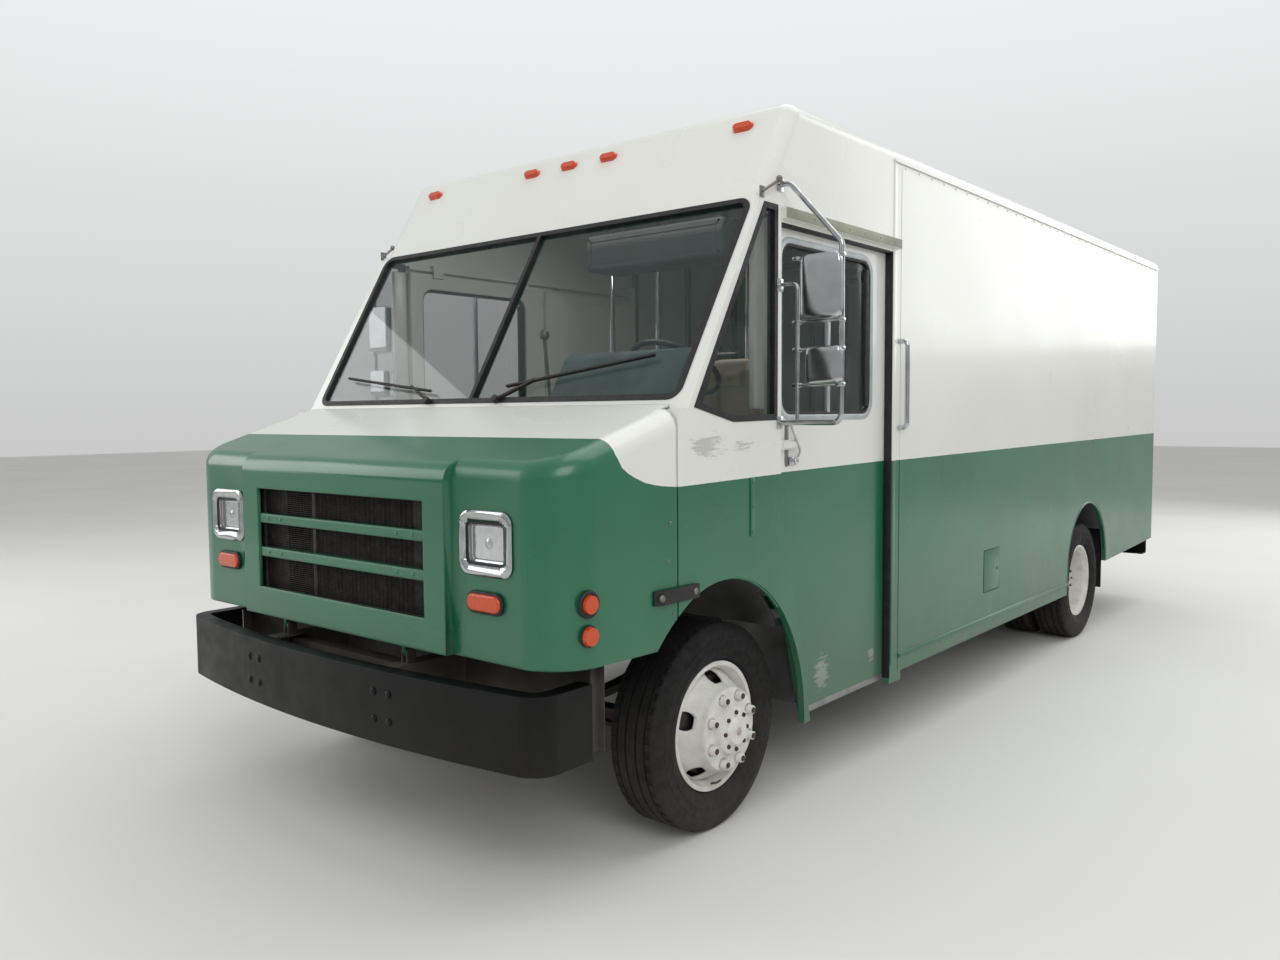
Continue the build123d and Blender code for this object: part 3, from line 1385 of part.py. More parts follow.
def tyre_ring(centre_x, axle_y):
    """One tyre centred at centre_x on the left."""
    bead_half = rim_width / 2 - flange_width - seat_gap
    outer_half = tyre_width / 2
    with BuildPart() as ring:
        with BuildSketch(Plane(origin=(centre_x, axle_y, hub_z), x_dir=(1, 0, 0), z_dir=(0, -1, 0))):
            with BuildLine():
                Line((-bead_half, rim_seat_radius + seat_gap), (bead_half, rim_seat_radius + seat_gap))
                Line((bead_half, rim_seat_radius + seat_gap), (bead_half, rim_flange_radius + 2))
                Line((bead_half, rim_flange_radius + 2), (outer_half - 8, rim_flange_radius + 32))
                ThreePointArc(
                    (outer_half - 8, rim_flange_radius + 32),
                    (outer_half, (rim_flange_radius + tyre_radius) / 2),
                    (tread_half, tyre_radius - shoulder),
                )
                Line((tread_half, tyre_radius - shoulder), (crown_half, tyre_radius))
                Line((crown_half, tyre_radius), (-crown_half, tyre_radius))
                Line((-crown_half, tyre_radius), (-tread_half, tyre_radius - shoulder))
                ThreePointArc(
                    (-tread_half, tyre_radius - shoulder),
                    (-outer_half, (rim_flange_radius + tyre_radius) / 2),
                    (-outer_half + 8, rim_flange_radius + 32),
                )
                Line((-outer_half + 8, rim_flange_radius + 32), (-bead_half, rim_flange_radius + 2))
                Line((-bead_half, rim_flange_radius + 2), (-bead_half, rim_seat_radius + seat_gap))
            make_face()
        revolve(axis=Axis((centre_x, axle_y, hub_z), (1, 0, 0)))
        return ring.part


front_tyre = tyre_ring(front_wheel_x, front_axle_y)
save_pair(front_tyre, "front_tyre")
save_pair(tyre_ring(rear_outer_x, rear_axle_y), "rear_tyre_outer")
save_pair(tyre_ring(rear_inner_x, rear_axle_y), "rear_tyre_inner")


def ring_section(axle_y, points):
    """Face in the plane of the wheel's axis, from (x, radius) points."""
    with BuildSketch(Plane(origin=(0, axle_y, hub_z), x_dir=(1, 0, 0), z_dir=(0, -1, 0))) as section:
        with BuildLine():
            Polyline(*points, close=True)
        make_face()
    return section.sketch


def rim_points(centre_x):
    """Section of a rim: a barrel between two flanges."""
    half = rim_width / 2
    return (
        (centre_x - half, rim_flange_radius),
        (centre_x - half + flange_width, rim_flange_radius),
        (centre_x - half + flange_width, rim_seat_radius),
        (centre_x + half - flange_width, rim_seat_radius),
        (centre_x + half - flange_width, rim_flange_radius),
        (centre_x + half, rim_flange_radius),
        (centre_x + half, rim_seat_radius - rim_wall + 6),
        (centre_x + half - 40, rim_seat_radius - rim_wall - 10),
        (centre_x - half + 40, rim_seat_radius - rim_wall - 10),
        (centre_x - half, rim_seat_radius - rim_wall + 6),
    )


# Front wheel: rim, disc that stands proud of it, hub, drum behind the disc and lug nuts
barrel_radius = rim_seat_radius - rim_wall - 10
face_x = front_wheel_x + rim_width / 2 + front_disc_reach
root_x = front_wheel_x + 40
drum_face_x = root_x + 28
with BuildPart() as front_wheel:
    wheel_axis = Axis((0, front_axle_y, hub_z), (1, 0, 0))
    revolve(ring_section(front_axle_y, rim_points(front_wheel_x)), axis=wheel_axis)
    disc_points = (
        (root_x, barrel_radius + 3),
        (face_x - 34, hand_hole_radius - 18),
        (face_x, lug_circle_radius + 26),
        (face_x, hub_radius - 8),
        (face_x - disc_thickness, hub_radius - 8),
        (face_x - disc_thickness, lug_circle_radius + 22),
        (face_x - 34 - disc_thickness, hand_hole_radius - 22),
        (root_x - disc_thickness, barrel_radius + 3),
    )
    revolve(ring_section(front_axle_y, disc_points), axis=wheel_axis)
    with BuildSketch(Plane.YZ.offset(root_x - 40)):
        with Locations((front_axle_y, hub_z)):
            with PolarLocations(hand_hole_radius + 6, hand_hole_count, start_angle=90):
                SlotOverall(74, 40, rotation=90)
    extrude(amount=face_x - root_x + 80, mode=Mode.SUBTRACT)
    hub_points = (
        (front_wheel_x - 36, drum_radius),
        (drum_face_x, drum_radius),
        (drum_face_x, hub_radius),
        (face_x - 8, hub_radius),
        (face_x - 8, hub_radius - 4),
        (face_x + 28, hub_radius - 16),
        (face_x + 28, 62),
        (face_x + 44, 52),
        (face_x + 44, 0),
        (spindle_end_x + 4, 0),
        (spindle_end_x + 4, spindle_radius + seat_gap),
        (front_wheel_x - 20, spindle_radius + seat_gap),
        (front_wheel_x - 20, 70),
        (drum_face_x - drum_wall, 70),
        (drum_face_x - drum_wall, drum_radius - drum_wall),
        (front_wheel_x - 36, drum_radius - drum_wall),
    )
    revolve(ring_section(front_axle_y, hub_points), axis=wheel_axis)
    with BuildSketch(Plane.YZ.offset(face_x - 1)):
        with Locations((front_axle_y, hub_z)):
            with PolarLocations(lug_circle_radius, lug_count, start_angle=22.5):
                RegularPolygon(lug_nut_radius, 6)
    extrude(amount=lug_nut_height + 1)
save_pair(front_wheel.part, "front_wheel")

# Rear wheels: two rims whose dished discs meet at the hub, one body with the drum
mount_x = (rear_outer_x + rear_inner_x) / 2
with BuildPart() as rear_wheels:
    wheel_axis = Axis((0, rear_axle_y, hub_z), (1, 0, 0))
    for centre_x, way in ((rear_outer_x, 1), (rear_inner_x, -1)):
        revolve(ring_section(rear_axle_y, rim_points(centre_x)), axis=wheel_axis)
        start_x = centre_x - way * 40
        plate_x = mount_x + way * disc_thickness
        disc_points = (
            (start_x, barrel_radius + 3),
            (plate_x + way * 28, hand_hole_radius - 18),
            (plate_x, lug_circle_radius + 26),
            (plate_x, hub_radius - 8),
            (mount_x, hub_radius - 8),
            (mount_x, lug_circle_radius + 28),
            (plate_x + way * 16, hand_hole_radius - 12),
            (start_x - way * disc_thickness, barrel_radius + 3),
        )
        revolve(ring_section(rear_axle_y, disc_points), axis=wheel_axis)
    with BuildSketch(Plane.YZ.offset(rear_inner_x - 42)):
        with Locations((rear_axle_y, hub_z)):
            with PolarLocations(hand_hole_radius + 6, hand_hole_count, start_angle=90):
                SlotOverall(74, 40, rotation=90)
    extrude(amount=dual_spacing + 84, mode=Mode.SUBTRACT)
    hub_points = (
        (rear_inner_x - 60, drum_radius),
        (mount_x - 30, drum_radius),
        (mount_x - 30, hub_radius),
        (mount_x + 120, hub_radius - 12),
        (mount_x + 120, 66),
        (mount_x + 162, 58),
        (mount_x + 162, 0),
        (rear_tube_end_x + 4, 0),
        (rear_tube_end_x + 4, stub_radius + seat_gap),
        (rear_inner_x + 10, stub_radius + seat_gap),
        (rear_inner_x + 10, 80),
        (mount_x - 44, 80),
        (mount_x - 44, drum_radius - drum_wall),
        (rear_inner_x - 60, drum_radius - drum_wall),
    )
    revolve(ring_section(rear_axle_y, hub_points), axis=wheel_axis)
    with BuildSketch(Plane.YZ.offset(mount_x + disc_thickness - 1)):
        with Locations((rear_axle_y, hub_z)):
            with PolarLocations(lug_circle_radius, lug_count, start_angle=22.5):
                RegularPolygon(lug_nut_radius, 6)
    extrude(amount=lug_nut_height + 1)
save_pair(rear_wheels.part, "rear_wheels")

# Mirrors: tube frames on the door posts with an upper and a lower head
tube_radius = 11
mirror_y = front_axle_y + 274
mirror_out_x = half_width + 292
mirror_in_x = half_width + 84
mirror_top_z = door_top_z + 144
mirror_elbow_z = mirror_top_z - 255
mirror_arm_z = mirror_top_z - 397
mirror_low_z = belt_z - 6
upper_head = (half_width + 113, mirror_out_x + 1, mirror_arm_z - 152, mirror_arm_z + 104)  # x and z limits
lower_head = (half_width + 140, mirror_out_x + 1, mirror_low_z + 153, mirror_low_z + 299)
head_depth = 26
with BuildPart() as mirror_frame:
    with BuildLine() as loop_path:
        FilletPolyline(
            (half_width + seat_gap, mirror_y, mirror_top_z),
            (half_width + 50, mirror_y, mirror_top_z),
            (mirror_out_x, mirror_y, mirror_elbow_z),
            (mirror_out_x, mirror_y, mirror_low_z),
            (half_width + seat_gap, mirror_y, mirror_low_z),
            radius=36,
        )
    with BuildSketch(Plane(origin=loop_path.line @ 0, z_dir=loop_path.line % 0)):
        Circle(tube_radius)
    sweep()
    with BuildLine() as inner_path:
        FilletPolyline(
            (half_width + seat_gap, mirror_y, mirror_arm_z),
            (mirror_in_x, mirror_y, mirror_arm_z),
            (mirror_in_x, mirror_y, mirror_low_z + 1),
            radius=26,
        )
    with BuildSketch(Plane(origin=inner_path.line @ 0, z_dir=inner_path.line % 0)):
        Circle(tube_radius * 0.7)
    sweep()
    for low_x, high_x, low_z, high_z in (upper_head, lower_head):
        with BuildSketch(across(mirror_y - tube_radius + 2)):
            with Locations(((low_x + high_x) / 2, (low_z + high_z) / 2)):
                RectangleRounded(high_x - low_x, high_z - low_z, 22)
        extrude(amount=head_depth)
        with Locations(((mirror_in_x + high_x) / 2, mirror_y, low_z)):
            Box(high_x - mirror_in_x, 14, 8)
    for level in (mirror_top_z, mirror_arm_z, mirror_low_z):
        with Locations((half_width + seat_gap + 3, mirror_y, level)):
            Box(6, 24, 70)
save_pair(mirror_frame.part, "mirror")

# Wipers: an arm and a blade on each half of the windscreen, drawn in the screen's plane
wiper_table = (  # pivot x, arm end x, arm end rise, tip x, tip rise
    (-283, -447, 92, -986, 150),
    (181, 376, 104, 980, 194),
)
wiper_foot_rise = 10
arm_width_mm = 12
blade_width = 9
with BuildPart() as wipers:
    for pivot_x, arm_x, arm_rise, tip_x, tip_rise in wiper_table:
        way = 1 if tip_x > pivot_x else -1
        lift = screen_plane.offset(5)
        with BuildSketch(lift):
            with BuildLine():
                Polyline((pivot_x, wiper_foot_rise), (arm_x, arm_rise))
            trace(line_width=arm_width_mm)
        extrude(amount=14)
        with BuildSketch(lift):
            with BuildLine():
                Line((arm_x - way * 160, arm_rise - 30), (tip_x, tip_rise))
            trace(line_width=blade_width)
        extrude(amount=14)
        with BuildSketch(lift):
            with Locations((pivot_x, wiper_foot_rise)):
                Circle(16)
        extrude(amount=22)
save(wipers.part, "wipers")

# Driver's seat on a pedestal
seat_x = half_width - 680
seat_y = front_axle_y + 840
seat_width = 480
cushion_z = 1230
cushion_depth = 470
cushion_thickness = 110
back_foot_y = 205
back_foot_rise = 60
pedestal = 300
back_lean = 10
back_length = 700
back_thickness = 45
with BuildPart() as seat:
    with Locations((seat_x, seat_y, (floor_top + cushion_z) / 2)):
        Box(pedestal, pedestal, cushion_z - floor_top)
    with BuildSketch(Plane.XY.offset(cushion_z)):
        with Locations((seat_x, seat_y)):
            RectangleRounded(seat_width, cushion_depth, 70)
    extrude(amount=cushion_thickness)
    back_dir = (0, -cos(radians(back_lean)), sin(radians(back_lean)))
    back_foot = (seat_x, seat_y + back_foot_y, cushion_z + back_foot_rise)
    with BuildSketch(Plane(origin=back_foot, x_dir=(1, 0, 0), z_dir=back_dir)):
        with Locations((0, back_length / 2)):
            RectangleRounded(seat_width, back_length, 90)
    extrude(amount=back_thickness, both=True)
save(seat.part, "seat")

# Dashboard across the cab below the windscreen
dash_top_z = 1600
dash_bottom_z = 1330
dash_front_y = cover_front_y
dash_rear_y = front_axle_y - 60
binnacle_low_x = seat_x - 140
binnacle_high_x = half_width - 160
binnacle_top_z = 1930
binnacle_profile = (  # y from the front axle, z
    (-300, dash_top_z - 20),
    (-270, 1660),
    (-130, binnacle_top_z - 30),
    (-90, binnacle_top_z),
    (40, binnacle_top_z),
    (60, binnacle_top_z - 30),
    (-100, dash_top_z - 20),
)
with BuildPart() as dash:
    with BuildSketch(Plane.YZ.offset(-inside_x + 2)):
        with BuildLine():
            Polyline(
                (dash_front_y, dash_bottom_z),
                (dash_front_y, dash_top_z),
                (dash_rear_y - 60, dash_top_z),
                (dash_rear_y, dash_top_z - 60),
                (dash_rear_y, dash_bottom_z),
                close=True,
            )
        make_face()
    extrude(amount=2 * inside_x - 4)
    with BuildSketch(Plane.YZ.offset(binnacle_low_x)):
        with BuildLine():
            Polyline(*[(front_axle_y + y, z) for y, z in binnacle_profile], close=True)
        make_face()
    extrude(amount=binnacle_high_x - binnacle_low_x)
save(dash.part, "dash")

# Steering column, from a flange on the cab floor up to the steering wheel
wheel_x = seat_x
wheel_lean = 32
wheel_centre = Vector(wheel_x, front_axle_y + 460, 1880)
wheel_axis_dir = Vector(0, sin(radians(wheel_lean)), cos(radians(wheel_lean)))
wheel_hub_drop = 26
column_radius = 26
column_flange = (110, 130, 12)
column_top = wheel_centre - wheel_axis_dir * (wheel_hub_drop + seat_gap)
column_foot_z = floor_top + seat_gap
column_rise = column_top.Z - column_foot_z
column_foot_y = column_top.Y - column_rise * tan(radians(wheel_lean))
with BuildPart() as steering_column:
    with BuildSketch(Plane(origin=column_top, z_dir=wheel_axis_dir * -1)):
        Circle(column_radius)
    extrude(amount=column_rise / cos(radians(wheel_lean)) + 2 * column_radius)
    with Locations((wheel_x, column_foot_y, column_foot_z + column_flange[2] / 2)):
        Box(*column_flange)
    with Locations((wheel_x, column_foot_y, column_foot_z - 2 * column_radius)):
        Box(400, 400, 4 * column_radius, mode=Mode.SUBTRACT)
save(steering_column.part, "steering_column")

# Steering wheel: rim, three spokes and hub
wheel_radius = 225
wheel_plane = Plane(origin=wheel_centre, x_dir=(1, 0, 0), z_dir=wheel_axis_dir)
with BuildPart() as steering_wheel:
    with BuildSketch(Plane(origin=wheel_centre, x_dir=(1, 0, 0), z_dir=wheel_plane.y_dir * -1)):
        with Locations((wheel_radius - 13, 0)):
            RegularPolygon(13, 8)
    revolve(axis=Axis(wheel_centre, wheel_axis_dir))
    with BuildSketch(wheel_plane.offset(-wheel_hub_drop)):
        Circle(38)
    extrude(amount=36)
    with BuildSketch(wheel_plane.offset(-8)):
        with PolarLocations(0, 3, start_angle=90):
            with Locations((wheel_radius / 2 - 4, 0)):
                Rectangle(wheel_radius - 18, 26)
    extrude(amount=10)
save(steering_wheel.part, "steering_wheel")

# Grab rails beside the doors
rail_tube = 12
rail_y = front_axle_y + 1362
rail_low_z = 1596
rail_high_z = 2017
rail_stand = 46
with BuildPart() as grab_rail:
    with BuildLine() as rail_path:
        FilletPolyline(
            (half_width + seat_gap, rail_y, rail_low_z),
            (half_width + rail_stand, rail_y, rail_low_z),
            (half_width + rail_stand, rail_y, rail_high_z),
            (half_width + seat_gap, rail_y, rail_high_z),
            radius=24,
        )
    with BuildSketch(Plane(origin=rail_path.line @ 0, z_dir=rail_path.line % 0)):
        Circle(rail_tube)
    sweep()
with BuildPart() as grab_rails:
    add(grab_rail.part)
    mirror(grab_rail.part, about=Plane.YZ)
save(grab_rails.part, "grab_rails")

# Mud flaps behind the rear wheels, hung from the deck
flap_y = rear_axle_y + 500
flap_bottom_z = 300
flap_x = (rear_outer_x + rear_inner_x) / 2 - 13
flap_width = 540
with BuildPart() as mud_flaps:
    for side_sign in (1, -1):
        with Locations((side_sign * flap_x, flap_y, (flap_bottom_z + floor_under - seat_gap) / 2)):
            Box(flap_width, 8, floor_under - seat_gap - flap_bottom_z)
save(mud_flaps.part, "mud_flaps")

# Rubber latches that hold the nose down across the seam
latch_low_z = 1000
latch_height = 52
latch_front_y = front_axle_y - 540
latch_rear_y = front_axle_y - 296
with BuildPart() as latch:
    with BuildSketch(Plane.XY.offset(latch_low_z)):
        with BuildLine():
            Polyline(
                (half_width + 6, latch_rear_y),
                (half_width + 16, latch_rear_y),
                (half_width + 16, latch_front_y + 40),
                (nose_side_x(latch_front_y) + 8, latch_front_y),
                (nose_side_x(latch_front_y) + seat_gap, latch_front_y),
                (nose_side_x(latch_front_y + 40) + seat_gap, latch_front_y + 40),
                (half_width + 6, latch_front_y + 60),
                close=True,
            )
        make_face()
    extrude(amount=latch_height)
with BuildPart() as hood_latches:
    add(latch.part)
    mirror(latch.part, about=Plane.YZ)
save(hood_latches.part, "hood_latches")
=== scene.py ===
"""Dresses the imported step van: finishes, trim, fittings, light and camera, in metres in the frame of the solids."""

import logging
from collections.abc import Callable, Iterator, Sequence
from contextlib import contextmanager
from dataclasses import dataclass, replace
from enum import Enum
from functools import cached_property
from math import cos, pi, radians, sin, sqrt, tan

import bpy
from mathutils import Matrix, Vector


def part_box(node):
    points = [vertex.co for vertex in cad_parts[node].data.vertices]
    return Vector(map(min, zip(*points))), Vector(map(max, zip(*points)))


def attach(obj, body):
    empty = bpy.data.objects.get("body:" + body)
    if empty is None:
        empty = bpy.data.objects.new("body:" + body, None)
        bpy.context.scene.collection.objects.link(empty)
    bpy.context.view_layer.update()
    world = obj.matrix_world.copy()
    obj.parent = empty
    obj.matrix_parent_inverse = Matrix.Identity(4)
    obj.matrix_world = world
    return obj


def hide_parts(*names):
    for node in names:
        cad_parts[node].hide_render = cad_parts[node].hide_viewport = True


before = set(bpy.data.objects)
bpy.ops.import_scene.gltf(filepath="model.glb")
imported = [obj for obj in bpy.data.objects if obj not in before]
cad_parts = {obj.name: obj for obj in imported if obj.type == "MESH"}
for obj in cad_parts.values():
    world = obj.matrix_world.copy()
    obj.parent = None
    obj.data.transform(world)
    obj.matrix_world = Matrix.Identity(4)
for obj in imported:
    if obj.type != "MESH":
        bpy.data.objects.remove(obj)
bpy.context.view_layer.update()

log = logging.getLogger("van")
Object = bpy.types.Object
Socket = bpy.types.NodeSocket
Point = tuple[float, float, float]
Flat = tuple[float, float]
Pair = tuple[str, str]


def middle(node: str) -> Vector:
    """Centre of a CAD node's box."""
    low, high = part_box(node)
    return (low + high) / 2


MM = 0.001
SMOOTH_ANGLE = radians(32)
PAD_SMOOTH_ANGLE = radians(60)
AXLE_Y = middle("front_tyre_left").y
REAR_AXLE_Y = middle("rear_tyre_outer_left").y
HUB_Z = middle("front_tyre_left").z
# The body's side, and the nose's side wall, which leans in ahead of this y
WALL_X = 1.22
LEAN = 0.0626
LEAN_START = -0.410
# Directions: towards the left side, to the front, to the back and up
OUT, AHEAD, BACK, UP = (1, 0, 0), (0, -1, 0), (0, 1, 0), (0, 0, 1)
# Bodies of a piece and its mirror image
CHASSIS = ("chassis", "chassis")
HOOD = ("hood", "hood")


def along(y: float) -> float:
    """The frame's y of a place measured back from the front axle."""
    return AXLE_Y + y


def at(x: float, y: float, z: float) -> Point:
    """A point whose y is measured back from the front axle."""
    return (x, along(y), z)


class Choice(Enum):
    """What is selected when a piece is opened in edit mode."""

    ALL = "SELECT"
    NONE = "DESELECT"
    KEPT = ""


class Facing(Enum):
    """Which way a flat outline faces: to the van's side or to its end."""

    SIDE = "side"
    END = "end"


# Mesh work


def select_only(*pieces: Object) -> None:
    """Select these pieces alone and make the first active."""
    bpy.ops.object.select_all(action="DESELECT")
    for piece in pieces:
        piece.select_set(True)
    if pieces:
        bpy.context.view_layer.objects.active = pieces[0]


@contextmanager
def editing(piece: Object, mode: str = "FACE", choice: Choice = Choice.ALL) -> Iterator[None]:
    """Open a piece in edit mode for the operators inside the block.

    Args:
        piece: The object to shape.
        mode: What is selected: VERT, EDGE or FACE.
        choice: How much of it is selected at the start.
    """
    select_only(piece)
    bpy.ops.object.mode_set(mode="EDIT")
    bpy.ops.mesh.select_mode(type=mode)
    if choice is not Choice.KEPT:
        bpy.ops.mesh.select_all(action=choice.value)
    try:
        yield
    finally:
        bpy.ops.object.mode_set(mode="OBJECT")


def pick_faces(piece: Object, test: Callable[[Vector, Vector], bool]) -> None:
    """Select the faces whose centre and normal pass the test, ready for edit mode."""
    with editing(piece, choice=Choice.NONE):
        pass
    for face in piece.data.polygons:
        face.select = test(face.center, face.normal)


def named(name: str) -> Object:
    """Name the active object, with its place taken into its mesh."""
    piece = bpy.context.object
    piece.name = name
    piece.data.name = name
    bpy.ops.object.transform_apply(location=True, rotation=True, scale=True)
    return piece


def modify(piece: Object, kind: str, **settings: object) -> Object:
    """Add a modifier of this kind with these settings, apply it and return the piece."""
    select_only(piece)
    bpy.ops.object.modifier_add(type=kind)
    modifier = piece.modifiers[-1]
    for key, value in settings.items():
        setattr(modifier, key, value)
    bpy.ops.object.modifier_apply(modifier=modifier.name)
    return piece


def soften(piece: Object, width: float, segments: int = 2) -> Object:
    """Round a piece's sharp edges by a width in metres."""
    return modify(piece, "BEVEL", width=width, segments=segments, limit_method="ANGLE", angle_limit=radians(40))


def outward(piece: Object) -> Object:
    """Merge doubles and turn all faces outwards."""
    with editing(piece, "VERT"):
        bpy.ops.mesh.remove_doubles(threshold=0.00002)
        bpy.ops.mesh.normals_make_consistent(inside=False)
    return piece


def block(name: str, low: Point, high: Point, edge: float = 0.003, segments: int = 2) -> Object:
    """A box between two corners with rounded edges."""
    select_only()
    low_corner, high_corner = Vector(low), Vector(high)
    bpy.ops.mesh.primitive_cube_add(size=1, location=(low_corner + high_corner) / 2, scale=high_corner - low_corner)
    return soften(named(name), edge, segments)


def slab(name: str, low: Point, high: Point, edge: float = 0.003, segments: int = 2) -> Object:
    """A block whose corners give y back from the front axle."""
    return block(name, at(*low), at(*high), edge, segments)


def rod(name: str, start: Point, end: Point, radius: float, sides: int = 24, edge: float = 0.001) -> Object:
    """A round bar between two points with a rounded rim."""
    select_only()
    run = Vector(end) - Vector(start)
    turn = run.to_track_quat("Z", "Y").to_euler()
    bpy.ops.mesh.primitive_cylinder_add(
        vertices=sides, radius=radius, depth=run.length, location=(Vector(start) + Vector(end)) / 2, rotation=turn
    )
    return soften(named(name), edge)


def chain(name: str, points: Sequence[Point], closed: bool = False) -> Object:
    """A line of vertices through the points, drawn by extruding one vertex, filled where it is closed."""
    select_only()
    bpy.ops.mesh.primitive_plane_add(size=0.01, location=points[0])
    piece = named(name)
    with editing(piece, "VERT"):
        bpy.ops.mesh.merge(type="CENTER")
        for here, there in zip(points, points[1:]):
            step = Vector(there) - Vector(here)
            bpy.ops.mesh.extrude_vertices_move(TRANSFORM_OT_translate={"value": step})
        if closed:
            bpy.ops.mesh.select_all(action="SELECT")
            bpy.ops.mesh.edge_face_add()
    return piece


def panel(name: str, points: Sequence[Point], depth: Point, edge: float = 0.0) -> Object:
    """A plate with this outline, as thick as the depth vector."""
    piece = chain(name, points, closed=True)
    with editing(piece):
        bpy.ops.mesh.extrude_region_move(TRANSFORM_OT_translate={"value": depth})
    outward(piece)
    return soften(piece, edge) if edge else piece


def gasket(name: str, points: Sequence[Point], band: float, depth: Point, edge: float = 0.002) -> Object:
    """A closed band inside this outline, as thick as the depth vector."""
    piece = chain(name, points, closed=True)
    with editing(piece):
        bpy.ops.mesh.inset(thickness=band, use_even_offset=True)
        bpy.ops.mesh.delete(type="FACE")
        bpy.ops.mesh.select_all(action="SELECT")
        bpy.ops.mesh.extrude_region_move(TRANSFORM_OT_translate={"value": depth})
    return soften(outward(piece), edge)


def spun(name: str, profile: Sequence[Point], centre: Point, axis: Point, steps: int = 48) -> Object:
    """A turned piece: the profile spun once round an axis."""
    piece = chain(name, profile)
    with editing(piece, "VERT"):
        bpy.ops.mesh.spin(steps=steps, angle=2 * pi, center=centre, axis=axis)
    return outward(piece)


def tube(name: str, points: Sequence[Point], radius: float, sides: int = 4) -> Object:
    """A bent bar that follows the points."""
    piece = chain(name, points)
    select_only(piece)
    bpy.ops.object.convert(target="CURVE")
    piece.data.bevel_depth = radius
    piece.data.bevel_resolution = sides
    piece.data.use_fill_caps = True
    bpy.ops.object.convert(target="MESH")
    return piece


def rounded(points: Sequence[Point], radius: float, steps: int = 5, closed: bool = False) -> list[Point]:
    """Points of a line whose corners are turned by arcs.

    Args:
        points: The corners.
        radius: Bend radius at each corner.
        steps: Points on each arc.
        closed: True when the last corner joins the first.

    Returns:
        The points along the rounded line.
    """
    corners = [Vector(p) for p in points]
    count = len(corners)
    out: list[Point] = []
    for i, corner in enumerate(corners):
        if not closed and i in (0, count - 1):
            out.append(tuple(corner))
            continue
        back = (corners[i - 1] - corner).normalized()
        ahead = (corners[(i + 1) % count] - corner).normalized()
        half = back.angle(ahead) / 2
        reach = radius / tan(half)
        centre = corner + (back + ahead).normalized() * (radius / sin(half))
        first = corner + back * reach - centre
        turn = pi - 2 * half
        spin_axis = first.cross(corner + ahead * reach - centre)
        if spin_axis.length < 1e-12:
            out.append(tuple(corner))
            continue
        for k in range(steps + 1):
            out.append(tuple(centre + Matrix.Rotation(turn * k / steps, 3, spin_axis.normalized()) @ first))
    return out


def outline(facing: Facing, level: float, low: Flat, high: Flat, radius: float) -> list[Point]:
    """Rounded rectangle on an upright plane.

    Args:
        facing: SIDE for a plane across X, END for one across Y.
        level: The plane's x, or its y in the frame.
        low: Lowest corner: y from the front axle and z on a side, x and z on an end.
        high: Highest corner.
        radius: Radius of the corners.

    Returns:
        The points round the rectangle.
    """
    corners = ((low[0], low[1]), (high[0], low[1]), (high[0], high[1]), (low[0], high[1]))
    flat = [at(level, a, b) if facing is Facing.SIDE else (a, level, b) for a, b in corners]
    return rounded(flat, radius, 6, closed=True)


def ring_on(name: str, seat: Point, axis: Point, section: Sequence[Flat], steps: int = 40) -> Object:
    """A round piece turned about an axis at a seat, from its (height, radius) section."""
    normal = Vector(axis).normalized()
    sideways = normal.orthogonal().normalized()
    points = [tuple(Vector(seat) + normal * height + sideways * radius) for height, radius in section]
    return spun(name, points, seat, tuple(normal), steps)


def pin(foot: float, radius: float, shoulder: float, top: float, top_radius: float) -> tuple[Flat, ...]:
    """Section of a round pin with a chamfered head, in heights over its seat and radii."""
    return ((foot, 0.0), (foot, radius), (shoulder, radius), (top, top_radius), (top, 0.0))


def screw(seat: Point, axis: Point = OUT, radius: float = 0.006, head: float = 0.0035) -> Object:
    """A round-headed screw standing on its seat."""
    section = ((-0.001, 0.0), (-0.001, radius), (head * 0.35, radius), (head * 0.8, radius * 0.7), (head, 0.0))
    return ring_on("screw", seat, axis, section, 12)


def row(name: str, piece: Object, step: Point, count: int) -> Object:
    """Repeat a piece along a line, in one mesh under a new name."""
    modify(
        piece, "ARRAY", count=count, use_relative_offset=False, use_constant_offset=True, constant_offset_displace=step
    )
    return joined(name, piece)


def circle_of(piece: Object, count: int, centre: Point, axis: Point) -> Object:
    """Repeat a piece round an axis, in one mesh."""
    with editing(piece):
        bpy.ops.mesh.spin(steps=count, dupli=True, angle=2 * pi, center=centre, axis=axis)
    return outward(piece)


def copy_of(piece: Object, name: str, shift: Point = (0, 0, 0), mirrored: bool = False) -> Object:
    """A copy with its own mesh, moved by a shift, or mirrored to the other side of the van."""
    select_only(piece)
    bpy.ops.object.duplicate(linked=False)
    other = bpy.context.object
    other.parent = None
    other.location = Vector(other.location) + Vector(shift)
    if mirrored:
        other.scale = (-1, 1, 1)
    named(name)
    return outward(other) if mirrored else other


def joined(name: str, *pieces: Object) -> Object:
    """Several meshes as one piece."""
    select_only(*pieces)
    if len(pieces) > 1:
        bpy.ops.object.join()
    return named(name)


def merged_copy(node: str, name: str) -> Object:
    """A copy of a CAD node with its loose triangles merged."""
    piece = copy_of(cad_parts[node], name)
    for key in list(piece.keys()):
        del piece[key]
    piece.data.materials.clear()
    with editing(piece, "VERT"):
        bpy.ops.mesh.remove_doubles(threshold=0.00005)
    return piece


# Finishes


def linear(code: str) -> tuple[float, float, float, float]:
    """Opaque linear colour of an sRGB hex code."""
    out = []
    for k in (0, 2, 4):
        share = int(code[k:k + 2], 16) / 255
        out.append(share / 12.92 if share <= 0.04045 else ((share + 0.055) / 1.055) ** 2.4)
    return (*out, 1.0)


